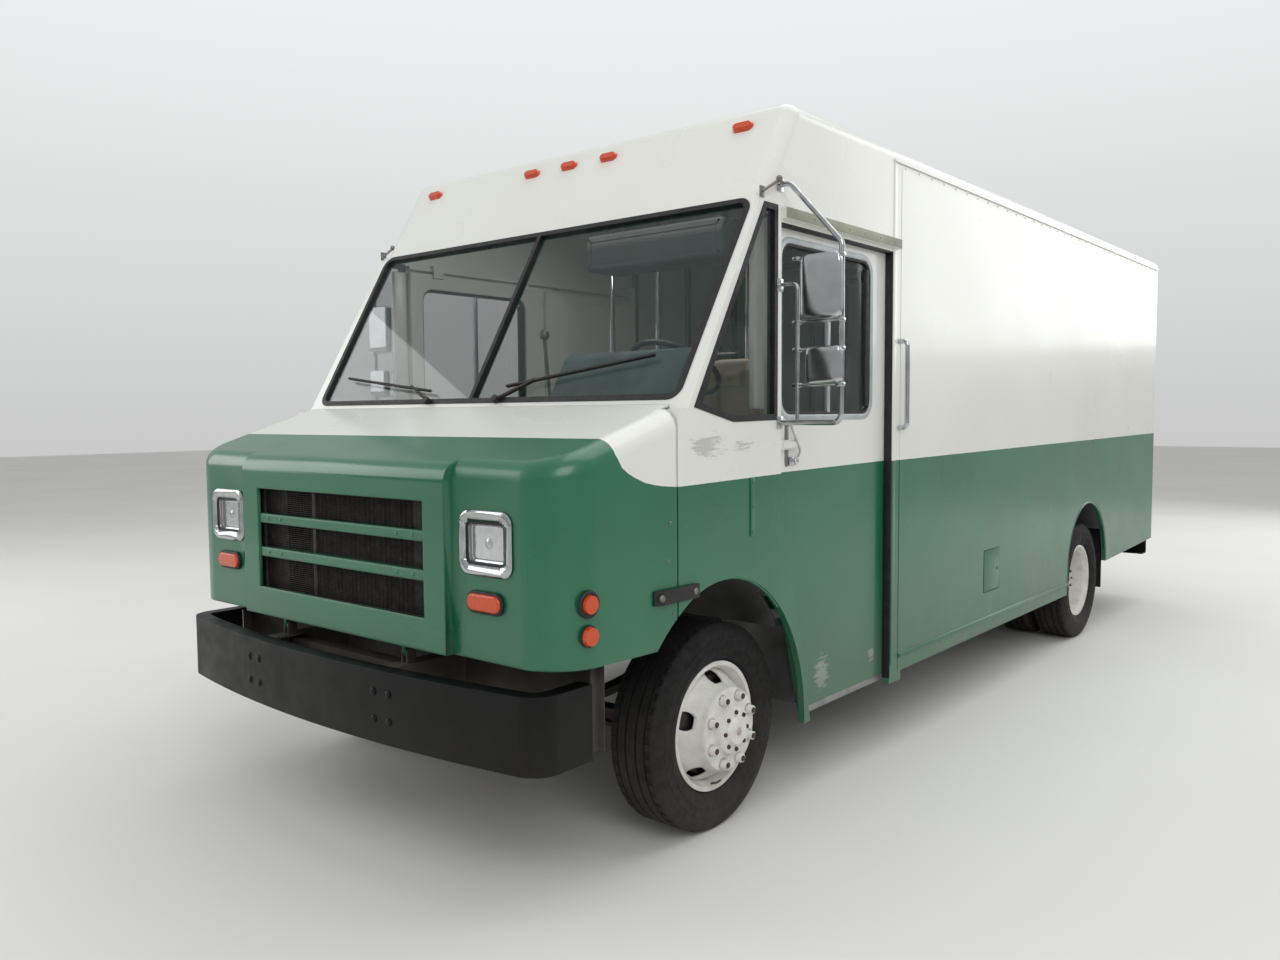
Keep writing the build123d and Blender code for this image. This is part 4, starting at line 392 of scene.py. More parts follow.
class Graph:
    """The emptied node tree of a material or world, with a short call for each kind of node."""

    def __init__(self, tree: bpy.types.NodeTree) -> None:
        """Empty the tree."""
        tree.nodes.clear()
        self.tree = tree

    def add(
        self, kind: str, inputs: dict[int | str, object] | None = None, output: int | str = 0, **settings: object
    ) -> Socket | None:
        """Add a node with its settings, values and links.

        Args:
            kind: The node's type without its ShaderNode prefix.
            inputs: Values or sockets for its inputs, by name or number.
            output: The output to hand back, by name or number.
            settings: The node's properties.

        Returns:
            The chosen output socket, or None where the node has none.
        """
        made = self.tree.nodes.new(f"ShaderNode{kind}")
        for key, value in settings.items():
            setattr(made, key, value)
        for key, value in (inputs or {}).items():
            if isinstance(value, Socket):
                self.tree.links.new(value, made.inputs[key])
            else:
                made.inputs[key].default_value = value
        return made.outputs[output] if len(made.outputs) else None

    @cached_property
    def coords(self) -> Socket:
        """The object's own coordinates, in metres."""
        return self.add("TexCoord", output=3)

    def axis(self, vector: Socket, number: int) -> Socket:
        """One part of a vector: 0 for x, 1 for y, 2 for z."""
        return self.add("SeparateXYZ", {"Vector": vector}, number)

    def length(self, vector: Socket) -> Socket:
        """Length of a vector."""
        return self.add("VectorMath", {0: vector}, 1, operation="LENGTH")

    def noise(self, scale: float, detail: float, coords: Socket | None = None, **more: float) -> Socket:
        """Noise at a scale over the object's coordinates or others."""
        vector = self.coords if coords is None else coords
        return self.add("TexNoise", {"Vector": vector, "Scale": scale, "Detail": detail, **more})

    def moved(self, scale: Point, location: Point = (0, 0, 0)) -> Socket:
        """The object's coordinates, scaled and then moved."""
        return self.add("Mapping", {"Vector": self.coords, "Location": location, "Scale": scale})

    def ramp(
        self, value: Socket, low: float = 0.0, high: float = 1.0, start: float = 0.0, end: float = 1.0,
        smooth: bool = False,
    ) -> Socket:
        """What goes from start to end while the value goes from low to high."""
        inputs = {"Value": value, "From Min": low, "From Max": high, "To Min": start, "To Max": end}
        return self.add("MapRange", inputs, interpolation_type="SMOOTHSTEP" if smooth else "LINEAR")

    def maths(self, operation: str, first: Socket, second: Socket | float | None = None, **more: bool) -> Socket:
        """Result of a calculation with one or two values."""
        inputs = {0: first} if second is None else {0: first, 1: second}
        return self.add("Math", inputs, operation=operation, **more)

    def times(self, first: Socket, second: Socket | float) -> Socket:
        """Product of two values."""
        return self.maths("MULTIPLY", first, second)

    def blend(self, share: Socket, first: Socket | str, second: Socket | str) -> Socket:
        """Mix of two colours, each a socket or an sRGB hex code."""
        pair = [linear(colour) if isinstance(colour, str) else colour for colour in (first, second)]
        return self.add("Mix", {0: share, 6: pair[0], 7: pair[1]}, 2, data_type="RGBA")

    def mix(self, share: Socket, first: Socket | float, second: Socket | float) -> Socket:
        """Mix of two values."""
        return self.add("Mix", {0: share, 2: first, 3: second})

    def bump(self, height: Socket, distance: float, strength: float = 1.0, normal: Socket | None = None) -> Socket:
        """Normal bent by a height, over another normal where one is given."""
        inputs = {"Height": height, "Distance": distance, "Strength": strength}
        return self.add("Bump", inputs if normal is None else {**inputs, "Normal": normal})

    def curve(self, value: Socket, points: Sequence[Flat]) -> Socket:
        """Value read off a line of straight runs through points between 0 and 1."""
        made = self.tree.nodes.new("ShaderNodeFloatCurve")
        knots = made.mapping.curves[0].points
        for x, y in points[1:-1]:
            knots.new(x, y)
        knots[0].location, knots[-1].location = points[0], points[-1]
        for knot in knots:
            knot.handle_type = "VECTOR"
        made.mapping.update()
        self.tree.links.new(value, made.inputs["Value"])
        return made.outputs[0]


@dataclass(frozen=True)
class Finish:
    """A material that is made once under its name and then reused."""

    name: str

    def build(self) -> bpy.types.Material:
        """The material of this finish."""
        material = bpy.data.materials.get(self.name)
        if material is None:
            material = bpy.data.materials.new(self.name)
            material.use_nodes = True
            graph = Graph(material.node_tree)
            graph.add("OutputMaterial", {"Surface": self.shader(graph)})
        return material

    def shader(self, graph: Graph) -> Socket:
        """Surface socket, which each kind of finish makes in its own way."""
        raise NotImplementedError


@dataclass(frozen=True)
class Coating(Finish):
    """A surface with patches of tone, fine grain, dust that gathers low down, and chips.

    Sizes are in millimetres and colours are sRGB hex codes.
    """

    colour: str
    roughness: float
    patch_colour: str = ""
    patch_mm: float = 300.0
    patch_share: float = 0.35
    metallic: float = 0.0
    coat: float = 0.0
    coat_roughness: float = 0.08
    # Width and height of the grain and of the panel's waves
    grain: Flat = (4.0, 0.02)
    wave: Flat = (0.0, 0.0)
    # Height in metres up to which dust lies, and how much
    dust: Flat = (0.0, 0.5)
    dust_colour: str = "6E675B"
    dust_roughness: float = 0.9
    # Colour below the chips, their width, and the noise level over which it shows
    chips: tuple[str, float, float] = ("", 14.0, 0.68)
    chip_rim: float = 0.03
    chip_roughness: float = 0.85
    edge_mm: float = 2.0
    sheen: float = 0.0
    specular: float = 0.5
    # Least and most roughness, as shares of the mean
    roughness_spread: Flat = (0.82, 1.22)

    def base(self, graph: Graph) -> Socket:
        """Colour socket of the bare coating with its patches of tone."""
        patches = graph.ramp(graph.noise(1000 / self.patch_mm, 2.0), 0.3, 0.75, end=self.patch_share, smooth=True)
        return graph.blend(patches, self.colour, self.patch_colour or self.colour)

    def shader(self, graph: Graph) -> Socket:
        """Surface of the coating with its chips, dust and relief."""
        colour = self.base(graph)
        least, most = (self.roughness * share for share in self.roughness_spread)
        rough = graph.ramp(graph.noise(2500 / self.patch_mm, 1.5), 0.15, 0.85, least, min(1.0, most), True)
        chip_colour, chip_mm, chip_cut = self.chips
        if chip_colour:
            spots = graph.noise(1000 / chip_mm, 6.0, Roughness=0.65)
            mask = graph.ramp(spots, chip_cut, chip_cut + self.chip_rim)
            colour, rough = graph.blend(mask, colour, chip_colour), graph.mix(mask, rough, self.chip_roughness)
        dust_top, dust_share = self.dust
        if dust_top:
            low = graph.ramp(graph.axis(graph.coords, 2), dust_top, 0.0, end=dust_share * 1.6)
            mask = graph.maths("MULTIPLY", low, graph.noise(9.0, 8.0), use_clamp=True)
            colour, rough = graph.blend(mask, colour, self.dust_colour), graph.mix(mask, rough, self.dust_roughness)
        return graph.add("BsdfPrincipled", {
            "Base Color": colour, "Roughness": rough, "Metallic": self.metallic, "Coat Weight": self.coat,
            "Coat Roughness": self.coat_roughness, "Normal": self.relief(graph), "Sheen Weight": self.sheen,
            "Specular IOR Level": self.specular,
        })

    def relief(self, graph: Graph) -> Socket:
        """Normal socket from rounded edges, panel waves and grain."""
        normal = graph.add("Bevel", {"Radius": self.edge_mm * MM}, samples=4)
        for (width, height), detail in ((self.wave, 1.0), (self.grain, 2.0)):
            if width:
                normal = graph.bump(graph.noise(1000 / width, detail), height * MM, normal=normal)
        return normal


@dataclass(frozen=True)
class TwoTonePaint(Coating):
    """Brushed-over fleet enamel, white above a green skirt, with the line that sweeps up over the nose."""

    green: str = "1A6345"
    green_patch: str = "237150"
    # Whether faces that look into the van stay white all the way down
    lined: bool = True
    # Height of the paint line at places back from the front axle, measured on the photo's near side
    line: tuple[Flat, ...] = (
        (-0.80, 2.2), (-0.745, 1.70), (-0.735, 1.59), (-0.725, 1.552), (-0.69, 1.495), (-0.65, 1.467),
        (-0.575, 1.436), (-0.50, 1.421), (-0.40, 1.412), (0.26, 1.4245), (1.37, 1.4375), (6.40, 1.472),
    )
    # Bare and scraped places on the near side: y and z of the centre, half sizes, how much is scraped
    scuffs: tuple[tuple[float, float, float, float, float], ...] = (
        (0.69, 0.51, 0.085, 0.100, 0.36), (1.17, 0.50, 0.050, 0.050, 0.40),
        (-0.23, 1.555, 0.15, 0.060, 0.38), (0.02, 1.545, 0.10, 0.045, 0.43),
    )
    scuff_depth: float = 0.15
    scuff_fade: float = 0.28
    scuff_cover: float = 0.62
    scuff_colour: str = "A2A39C"
    # Heights between which the line runs, and how far the brush strays from it
    line_z: Flat = (1.3, 2.3)
    stray: float = 0.003
    # Where the lined room starts: y back from the front axle, and z of the floor
    room: Flat = (0.285, 0.80)

    def base(self, graph: Graph) -> Socket:
        """Colour socket: green below the line and white above it."""
        white = Coating.base(self, graph)
        low_y, high_y = self.line[0][0], self.line[-1][0]
        low_z, high_z = self.line_z
        points = [((y - low_y) / (high_y - low_y), (z - low_z) / (high_z - low_z)) for y, z in self.line]
        share = graph.ramp(graph.axis(graph.coords, 1), along(low_y), along(high_y))
        level = graph.ramp(graph.curve(share, points), start=low_z, end=high_z)
        below = graph.maths("SUBTRACT", level, graph.axis(graph.coords, 2))
        edge = graph.maths("ADD", below, graph.times(graph.noise(60.0, 3.0), self.stray))
        mask = graph.ramp(edge, 0.001, 0.0022)
        if self.lined:
            mask = self.outside(graph, mask)
        fade = graph.ramp(graph.noise(1.7, 2.0), 0.25, 0.8, end=0.6, smooth=True)
        return self.scraped(graph, graph.blend(mask, white, graph.blend(fade, self.green, self.green_patch)))

    def outside(self, graph: Graph, mask: Socket) -> Socket:
        """Keep the green off faces that look into the van, above the floor and behind the front arch."""
        normal = graph.add("TexCoord", output=1)
        product = graph.add("VectorMath", {0: normal, 1: graph.coords}, operation="MULTIPLY")
        facing = [graph.ramp(graph.axis(product, k), end - 0.3, end) for k, end in ((0, -0.25), (1, -3.30))]
        starts = ((1, along(self.room[0])), (2, self.room[1]))
        room = [graph.ramp(graph.axis(graph.coords, k), start, start + 0.005) for k, start in starts]
        return graph.times(mask, graph.mix(graph.times(*room), 1.0, graph.times(*facing)))

    def scraped(self, graph: Graph, colour: Socket) -> Socket:
        """Lay each scuff over the paint as ragged grey-white streaks."""
        ragged = graph.noise(34.0, 9.0, graph.moved((1.0, 0.22, 1.8)), Roughness=0.75)
        for y, z, half_y, half_z, cut in self.scuffs:
            local = graph.moved(
                (1 / self.scuff_depth, 1 / half_y, 1 / half_z),
                (-WALL_X / self.scuff_depth, -along(y) / half_y, -z / half_z),
            )
            near = graph.ramp(graph.length(local), 1.1, 0.3, end=self.scuff_fade)
            start = cut + self.scuff_fade
            torn = graph.ramp(graph.maths("ADD", ragged, near), start, start + self.chip_rim)
            mask = graph.times(torn, graph.times(graph.ramp(near, high=0.04), self.scuff_cover))
            colour = graph.blend(mask, colour, self.scuff_colour)
        return colour


@dataclass(frozen=True)
class WheelEnamel(Coating):
    """White enamel on a wheel's outer faces; behind the disc it is near-black rusty iron, partly painted shade of the
    unlit barrel and drum.
    """

    axle_y: float = 0.0
    # How far out the paint starts at two radii: radius and x, inner then outer
    inner: Flat = (0.174, 1.117)
    outer: Flat = (0.230, 1.024)
    # Near-black behind the disc: rusty iron, darkened further as painted shade of the unlit inside
    rust_and_shade: str = "15120F"

    def base(self, graph: Graph) -> Socket:
        """Colour socket: enamel in front of the disc; behind it near-black rusty iron that is partly painted shade."""
        enamel = Coating.base(self, graph)
        reach = graph.maths("ABSOLUTE", graph.axis(graph.coords, 0))
        radius = graph.length(graph.moved((0.0, 1.0, 1.0), (0.0, -self.axle_y, -HUB_Z)))
        start = graph.ramp(radius, self.inner[0], self.outer[0], self.inner[1], self.outer[1])
        mask = graph.ramp(graph.maths("SUBTRACT", reach, start), -0.002, 0.002)
        return graph.blend(mask, self.rust_and_shade, enamel)


@dataclass(frozen=True)
class Glazing(Finish):
    """Plain float glass with a faint green cast: see-through, glossy, a little dusty."""

    colour: str = "16322E"
    alpha: float = 0.27
    roughness: float = 0.015

    def shader(self, graph: Graph) -> Socket:
        """Clear surface with a film of dust."""
        rough = graph.ramp(graph.noise(2.4, 8.0), 0.45, 0.8, self.roughness, self.roughness + 0.05)
        return graph.add("BsdfPrincipled", {
            "Base Color": linear(self.colour), "Roughness": rough, "IOR": 1.52, "Coat Weight": 1.0,
            "Alpha": self.alpha,
        })


@dataclass(frozen=True)
class LampLens(Finish):
    """Moulded lamp lens, fluted on its inside."""

    colour: str
    flute_mm: float = 9.0
    alpha: float = 1.0
    glow: float = 0.25

    def shader(self, graph: Graph) -> Socket:
        """Coloured surface with upright flutes."""
        scale = 1000 / self.flute_mm / 20 * pi
        flutes = graph.add("TexWave", {"Vector": graph.coords, "Scale": scale}, 1, bands_direction="X")
        return graph.add("BsdfPrincipled", {
            "Base Color": linear(self.colour), "Roughness": 0.22, "Coat Weight": 0.4,
            "Normal": graph.bump(flutes, 1.2 * MM, 0.6), "Subsurface Weight": self.glow,
            "Subsurface Radius": (0.012, 0.006, 0.003), "Alpha": self.alpha,
        })


# Fleet enamel, sprayed: white over green, glossy where it is sound, dulled and scraped with age
BODY_PAINT = TwoTonePaint(
    "two_tone_fleet_enamel", "E4E5DE", 0.30, "DCDDD5", 1400, 0.6, coat=0.35, coat_roughness=0.12, grain=(9, 0.05),
    wave=(620, 2.2), dust=(0.95, 0.55), edge_mm=3,
)
# The same enamel over the moulded nose, whose edges are softer than the sheet metal's
NOSE_PAINT = replace(BODY_PAINT, name="two_tone_moulded_nose", edge_mm=14, lined=False)
# The same enamel on the roof and inside, where nothing is green
WHITE_PAINT = Coating(
    "white_fleet_enamel", "E2E3DC", 0.34, "D6D6CD", 1200, 0.7, coat=0.25, coat_roughness=0.15, grain=(9, 0.05),
    wave=(620, 1.5), edge_mm=3,
)
# The same enamel on small trim that is green all over
GREEN_PAINT = Coating(
    "green_fleet_enamel", "1A6345", 0.32, "237150", 500, 0.6, coat=0.35, coat_roughness=0.12, grain=(9, 0.05),
    dust=(0.95, 0.5), edge_mm=2,
)
# Black enamel on the pressed steel bumpers, brushed on and dusty
BUMPER_PAINT = Coating(
    "black_bumper_enamel", "060607", 0.42, "0E0E10", 240, 0.7, specular=0.22, grain=(6, 0.12), dust=(0.8, 0.12),
    chips=("4A4541", 16, 0.70), edge_mm=4,
)
# Black enamel on the frame's rolled steel, chipped to rust
CHASSIS_PAINT = Coating(
    "black_chassis_enamel", "161616", 0.62, "2B2420", 180, 0.9, grain=(5, 0.2), dust=(1.2, 0.6),
    chips=("54321F", 26, 0.66),
)
# Cast and forged iron, rusted to a brown-black skin
RUSTY_IRON = Coating(
    "rusty_cast_iron", "2A2523", 0.78, "58351F", 90, 0.95, metallic=0.35, grain=(3, 0.25), dust=(0.9, 0.5)
)
# White wheel enamel brushed over steel, flaking to rust, near-black behind the disc partly as painted shade
WHEEL_PAINT = WheelEnamel(
    "chipped_wheel_enamel", "DFDEDA", 0.46, "C4C1B6", 60, 0.6, grain=(5, 0.15), dust=(0.6, 0.15),
    chips=("4A3223", 15, 0.69), edge_mm=2.5, axle_y=AXLE_Y,
)
REAR_WHEEL_PAINT = replace(
    WHEEL_PAINT, name="chipped_rear_wheel_enamel", axle_y=REAR_AXLE_Y, inner=(0.160, 0.922), outer=(0.230, 1.008)
)
# The same enamel worn thin over the hubs' iron
HUB_IRON = Coating("worn_hub_enamel", "C2BEB2", 0.5, "8E8476", 40, 0.8, grain=(4, 0.15), chips=("513523", 10, 0.6))
# Vulcanised tyre rubber, greyed by dust in the grooves
TYRE_RUBBER = Coating(
    "vulcanised_tyre_rubber", "101012", 0.74, "1D1C1B", 70, 0.9, grain=(1.6, 0.12), dust=(0.7, 0.22), edge_mm=1,
    specular=0.28,
)
# Extruded rubber of seals and grommets
BLACK_RUBBER = Coating("extruded_epdm_rubber", "101011", 0.55, "262624", 60, 0.6, grain=(2, 0.06), edge_mm=1)
# Chromed pressed steel, pitted a little
CHROME = Coating("pitted_chrome", "BFC2C4", 0.16, "9C9D99", 40, 0.6, metallic=1.0, grain=(2, 0.02), edge_mm=1)
# Bright stainless sheet and tube
STAINLESS = Coating("polished_stainless", "C6C8CA", 0.13, "AEB0B0", 80, 0.5, metallic=1.0, grain=(2, 0.03), edge_mm=1)
# Bare aluminium as it came from the mill
ALUMINIUM = Coating(
    "milled_aluminium", "A6A8A8", 0.42, "8C8D8C", 120, 0.7, metallic=0.9, grain=(3, 0.05), dust=(0.9, 0.4), edge_mm=1.5
)
# Zinc plating on fasteners and small fittings, browned in spots
ZINC = Coating("zinc_plated_steel", "8B8C8A", 0.4, "6E6356", 15, 0.8, metallic=0.85, grain=(2, 0.02), edge_mm=0.8)
# Exhaust steel, rusted by heat
RUSTY_STEEL = Coating("heat_rusted_steel", "6A4A38", 0.75, "39302B", 70, 0.9, metallic=0.3, grain=(3, 0.2))
# Moulded ABS of the cab's fittings
CAB_PLASTIC = Coating("moulded_abs", "2A2B2D", 0.55, "36373A", 200, 0.6, grain=(1.8, 0.08))
# Grained vinyl over foam, tan and rubbed grey where a driver slides across it
SEAT_VINYL = Coating("grained_tan_vinyl", "A5977B", 0.52, "8A7F6B", 120, 0.8, grain=(2.2, 0.15), sheen=0.1)
# Dull vinyl round the overhead shelf
SHELF_VINYL = Coating("dull_shelf_vinyl", "565C5A", 0.62, "4A504E", 160, 0.7, grain=(2, 0.1))
# Teal-grey padded dash skin, sun-faded in patches
DASH_PLASTIC = Coating("faded_dash_skin", "4E6662", 0.6, "6C807B", 160, 0.8, grain=(1.8, 0.1), edge_mm=4)
# Anodised window frame, chalky grey
WINDOW_TRIM = Coating(
    "anodised_window_frame", "B9BEC0", 0.38, "9EA4A6", 140, 0.7, metallic=0.5, grain=(3, 0.04), edge_mm=1.5
)
# Painted shade: olive grey on the door's top channel, the white channel's shaded look taken into its colour
SHADED_HEADER_GREY = Coating("chalked_channel_primer", "989A88", 0.6, "85877A", 200, 0.7, grain=(4, 0.08), edge_mm=1.5)
# Woven screen wire, brown-grey with road dust
SCREEN_WIRE = Coating("dusty_screen_wire", "2C2928", 0.7, "4B443E", 45, 0.9, metallic=0.4, grain=(2, 0.1), edge_mm=0.4)
# Aluminised reflector bowl behind the headlamp glass
REFLECTOR = Coating("aluminised_reflector", "D9DCDE", 0.08, "BFC3C6", 30, 0.6, metallic=1.0, grain=(14, 0.9))
# Glass silvered on its back
MIRROR_SILVER = Coating("silvered_mirror_glass", "DADDDE", 0.02, metallic=1.0, grain=(4, 0.0), edge_mm=0.5)
# Aluminium floor plate, scratched dull by feet
FLOOR_PLATE = Coating(
    "worn_floor_alloy", "8E9090", 0.45, "6F6E6A", 300, 0.8, metallic=0.85, grain=(6, 0.2), edge_mm=1.5
)
# Blackened brass fins of the radiator core
CORE_FINS = Coating("radiator_core_fins", "26282A", 0.6, "3A3632", 40, 0.8, metallic=0.5, grain=(3, 0.6))
# Power-floated concrete of the studio, sealed and pale
STUDIO_FLOOR = Coating("sealed_pale_concrete", "E2E1DD", 0.8, "DAD9D4", 2600, 0.5, grain=(40, 0.3))
# Float glass of the windows
WINDOW_GLASS = Glazing("float_glass")
# Pressed glass of the headlamps, then the acrylic of turn, marker and tail lamps
HEADLAMP_GLASS = LampLens("fluted_headlamp_glass", "E4E8E8", 13, alpha=0.22, glow=0.0)
AMBER_LENS = LampLens("amber_acrylic", "C84200", 7, glow=0.1)
RED_LENS = LampLens("red_acrylic", "A3110D", 7, glow=0.4)


def hand_over(
    piece: Object, body: str, finish: Finish, stands_for: Sequence[str] = (), smooth: float = SMOOTH_ANGLE
) -> Object:
    """Finish a piece: shading, material and body.

    Args:
        piece: The object.
        body: CAD body that it rides on.
        finish: Its coating.
        stands_for: CAD nodes that it replaces.
        smooth: Angle under which faces shade smoothly.

    Returns:
        The same piece.
    """
    select_only(piece)
    bpy.ops.object.shade_smooth_by_angle(angle=smooth)
    piece.data.materials.clear()
    piece.data.materials.append(finish.build())
    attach(piece, body)
    if stands_for:
        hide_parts(*stands_for)
    log.info("%s rides on %s", piece.name, body)
    return piece


def both_sides(piece: Object, finish: Finish, bodies: Pair = CHASSIS, replaced: Sequence[str] = ()) -> None:
    """Hand over a left piece and its mirror image, named left_ and right_.

    Args:
        piece: The left piece, whose name starts with left_.
        finish: Their coating.
        bodies: Bodies of the left and the right piece.
        replaced: CAD node that each of them replaces, if any.
    """
    other = copy_of(piece, piece.name.replace("left_", "right_", 1), mirrored=True)
    hand_over(piece, bodies[0], finish, replaced[:1])
    hand_over(other, bodies[1], finish, replaced[1:])


@dataclass
class Stage:
    """Pale floor, wide soft lamps, an even sky and the camera where the photographer stood."""

    camera_place: Point = (3.4222, -3.2546, 1.6758)
    azimuth: float = 39.8328
    elevation: float = -3.7786
    roll: float = -0.4175
    lens_mm: float = 28.41
    floor_size: float = 90.0
    # Name, place, size, power and what each lamp faces
    lamps: tuple[tuple[str, Point, float, float, Point], ...] = (
        ("key_softbox", (9.5, -9.5, 8.5), 7.0, 505, (0, -0.5, 1.2)),
        ("fill_softbox", (-9.0, -8.0, 5.0), 7.0, 330, (0, -0.5, 1.2)),
        ("top_softbox", (1.5, 1.0, 10.0), 9.0, 375, (0, -0.5, 1.2)),
        ("rear_softbox", (4.0, 11.0, 6.0), 7.0, 330, (0, -0.5, 1.2)),
        ("cab_softbox", (0.0, along(1.00), 2.84), 0.6, 9, (0.0, along(0.60), 1.0)),
    )

    def build(self) -> None:
        """Make the floor, the world, the lamps and the camera."""
        self.floor()
        self.world()
        for name, place, size, power, aim in self.lamps:
            self.lamp(name, place, size, power, aim)
        self.camera()

    def floor(self) -> None:
        """The pale studio floor."""
        select_only()
        bpy.ops.mesh.primitive_plane_add(size=self.floor_size, location=(0, 0, 0))
        floor = named("studio_floor")
        with editing(floor):
            bpy.ops.mesh.subdivide(number_cuts=4)
        floor.data.materials.append(STUDIO_FLOOR.build())

    def world(self) -> None:
        """An even pale sky that metal and glass show as well."""
        world = bpy.data.worlds.new("studio_sky")
        bpy.context.scene.world = world
        world.use_nodes = True
        graph = Graph(world.node_tree)
        share = graph.ramp(graph.axis(graph.add("TexCoord", output=0), 2), -0.05, 0.35)
        sky = graph.blend(share, "CBCCCB", "F3F5F6")
        light, shown = (graph.add("Background", {"Color": sky, "Strength": strength}) for strength in (0.62, 0.95))
        seen = [graph.add("LightPath", output=name) for name in ("Is Camera Ray", "Is Transmission Ray")]
        both = graph.add("MixShader", {0: graph.maths("MAXIMUM", *seen), 1: light, 2: shown})
        graph.add("OutputWorld", {"Surface": both})

    def lamp(self, name: str, place: Point, size: float, power: float, aim: Point) -> None:
        """A large square lamp that faces a point."""
        turn = (Vector(aim) - Vector(place)).to_track_quat("-Z", "Y").to_euler()
        select_only()
        bpy.ops.object.light_add(type="AREA", location=place, rotation=turn)
        lamp = bpy.context.object
        lamp.name = name
        lamp.data.size = size
        lamp.data.energy = power

    def camera(self) -> None:
        """The camera, turned by the photo's azimuth, elevation and roll."""
        a, e, r = radians(self.azimuth), radians(self.elevation), radians(self.roll)
        look = Vector((-sin(a) * cos(e), cos(a) * cos(e), sin(e)))
        level = Vector((cos(a), sin(a), 0))
        above = level.cross(look)
        right = level * cos(r) + above * sin(r)
        up = above * cos(r) - level * sin(r)
        place = Vector(at(*self.camera_place))
        select_only()
        bpy.ops.object.camera_add()
        camera = bpy.context.object
        camera.name = "photo_camera"
        camera.data.lens = self.lens_mm
        camera.data.sensor_width = 36
        camera.data.clip_end = 200
        camera.matrix_world = Matrix((
            (right.x, up.x, -look.x, place.x),
            (right.y, up.y, -look.y, place.y),
            (right.z, up.z, -look.z, place.z),
            (0, 0, 0, 1),
        ))
        bpy.context.scene.camera = camera
        bpy.context.scene.view_settings.view_transform = "Standard"


@dataclass
class Finishes:
    """Which finish each solid of the van wears."""

    worn: tuple[tuple[Finish, str], ...] = (
        (CHASSIS_PAINT, "frame leaf_springs drive_shaft wipers"),
        (BUMPER_PAINT, "front_bumper rear_bumper"),
        (RUSTY_IRON, "front_axle knuckle_left knuckle_right tie_rod rear_axle engine"),
        (CORE_FINS, "radiator"),
        (ALUMINIUM, "fuel_tank"),
        (RUSTY_STEEL, "exhaust"),
        (FLOOR_PLATE, "floor"),
        (CAB_PLASTIC, "engine_cover seat steering_column steering_wheel"),
        (DASH_PLASTIC, "dash"),
        (BODY_PAINT, "cowl cab_front side_left side_right door_left door_right"),
        (BODY_PAINT, "rear_wall rear_door_left rear_door_right"),
        (NOSE_PAINT, "hood"),
        (WHITE_PAINT, "roof"),
        (WINDOW_GLASS, "cab_glass door_pane_left door_pane_right rear_pane_left rear_pane_right"),
        (BLACK_RUBBER, "window_seals grille_screen mud_flaps hood_latches"),
        (CHROME, "headlamp_bezels"),
        (STAINLESS, "mirror_left mirror_right grab_rails"),
        (HEADLAMP_GLASS, "headlamp_lenses"),
        (AMBER_LENS, "nose_lamps marker_lamps"),
        (RED_LENS, "tail_lamps"),
        (TYRE_RUBBER, "front_tyre_left front_tyre_right rear_tyre_outer_left rear_tyre_outer_right"),
        (TYRE_RUBBER, "rear_tyre_inner_left rear_tyre_inner_right"),
        (WHEEL_PAINT, "front_wheel_left front_wheel_right"),
        (REAR_WHEEL_PAINT, "rear_wheels_left rear_wheels_right"),
    )
    # Pressed and rolled solids whose curves get merged, smooth meshes: node, body, slot
    curved: tuple[tuple[str, str, str], ...] = (
        ("hood", "hood", "body_green"), ("roof", "chassis", "body_white"), ("cab_front", "chassis", "body_white"),
        ("front_bumper", "chassis", "black_paint"), ("headlamp_bezels", "hood", "chrome"),
        ("dash", "chassis", "cab_grey"), ("steering_wheel", "steering_wheel", "cab_grey"),
        ("steering_column", "chassis", "cab_grey"), ("grab_rails", "chassis", "stainless"),
        ("front_wheel_left", "front_wheel_left", "wheel_white"),
        ("front_wheel_right", "front_wheel_right", "wheel_white"),
        ("rear_wheels_left", "rear_wheels_left", "wheel_white"),
        ("rear_wheels_right", "rear_wheels_right", "wheel_white"),
        ("engine_cover", "chassis", "cab_grey"), ("fuel_tank", "chassis", "tank_alloy"),
        ("exhaust", "chassis", "silencer_steel"), ("rear_axle", "chassis", "cast_metal"),
    )

    def build(self) -> None:
        """Give every solid its finish and the curved ones a smooth mesh."""
        wears = {node: finish for finish, nodes in self.worn for node in nodes.split()}
        for node, finish in wears.items():
            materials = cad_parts[node].data.materials
            if not len(materials):
                materials.append(None)
            for k in range(len(materials)):
                materials[k] = finish.build()
        for node, body, slot in self.curved:
            piece = hand_over(merged_copy(node, f"smooth_{node}"), body, wears[node], (node,))
            modify(piece, "WEIGHTED_NORMAL", keep_sharp=True, weight=80)


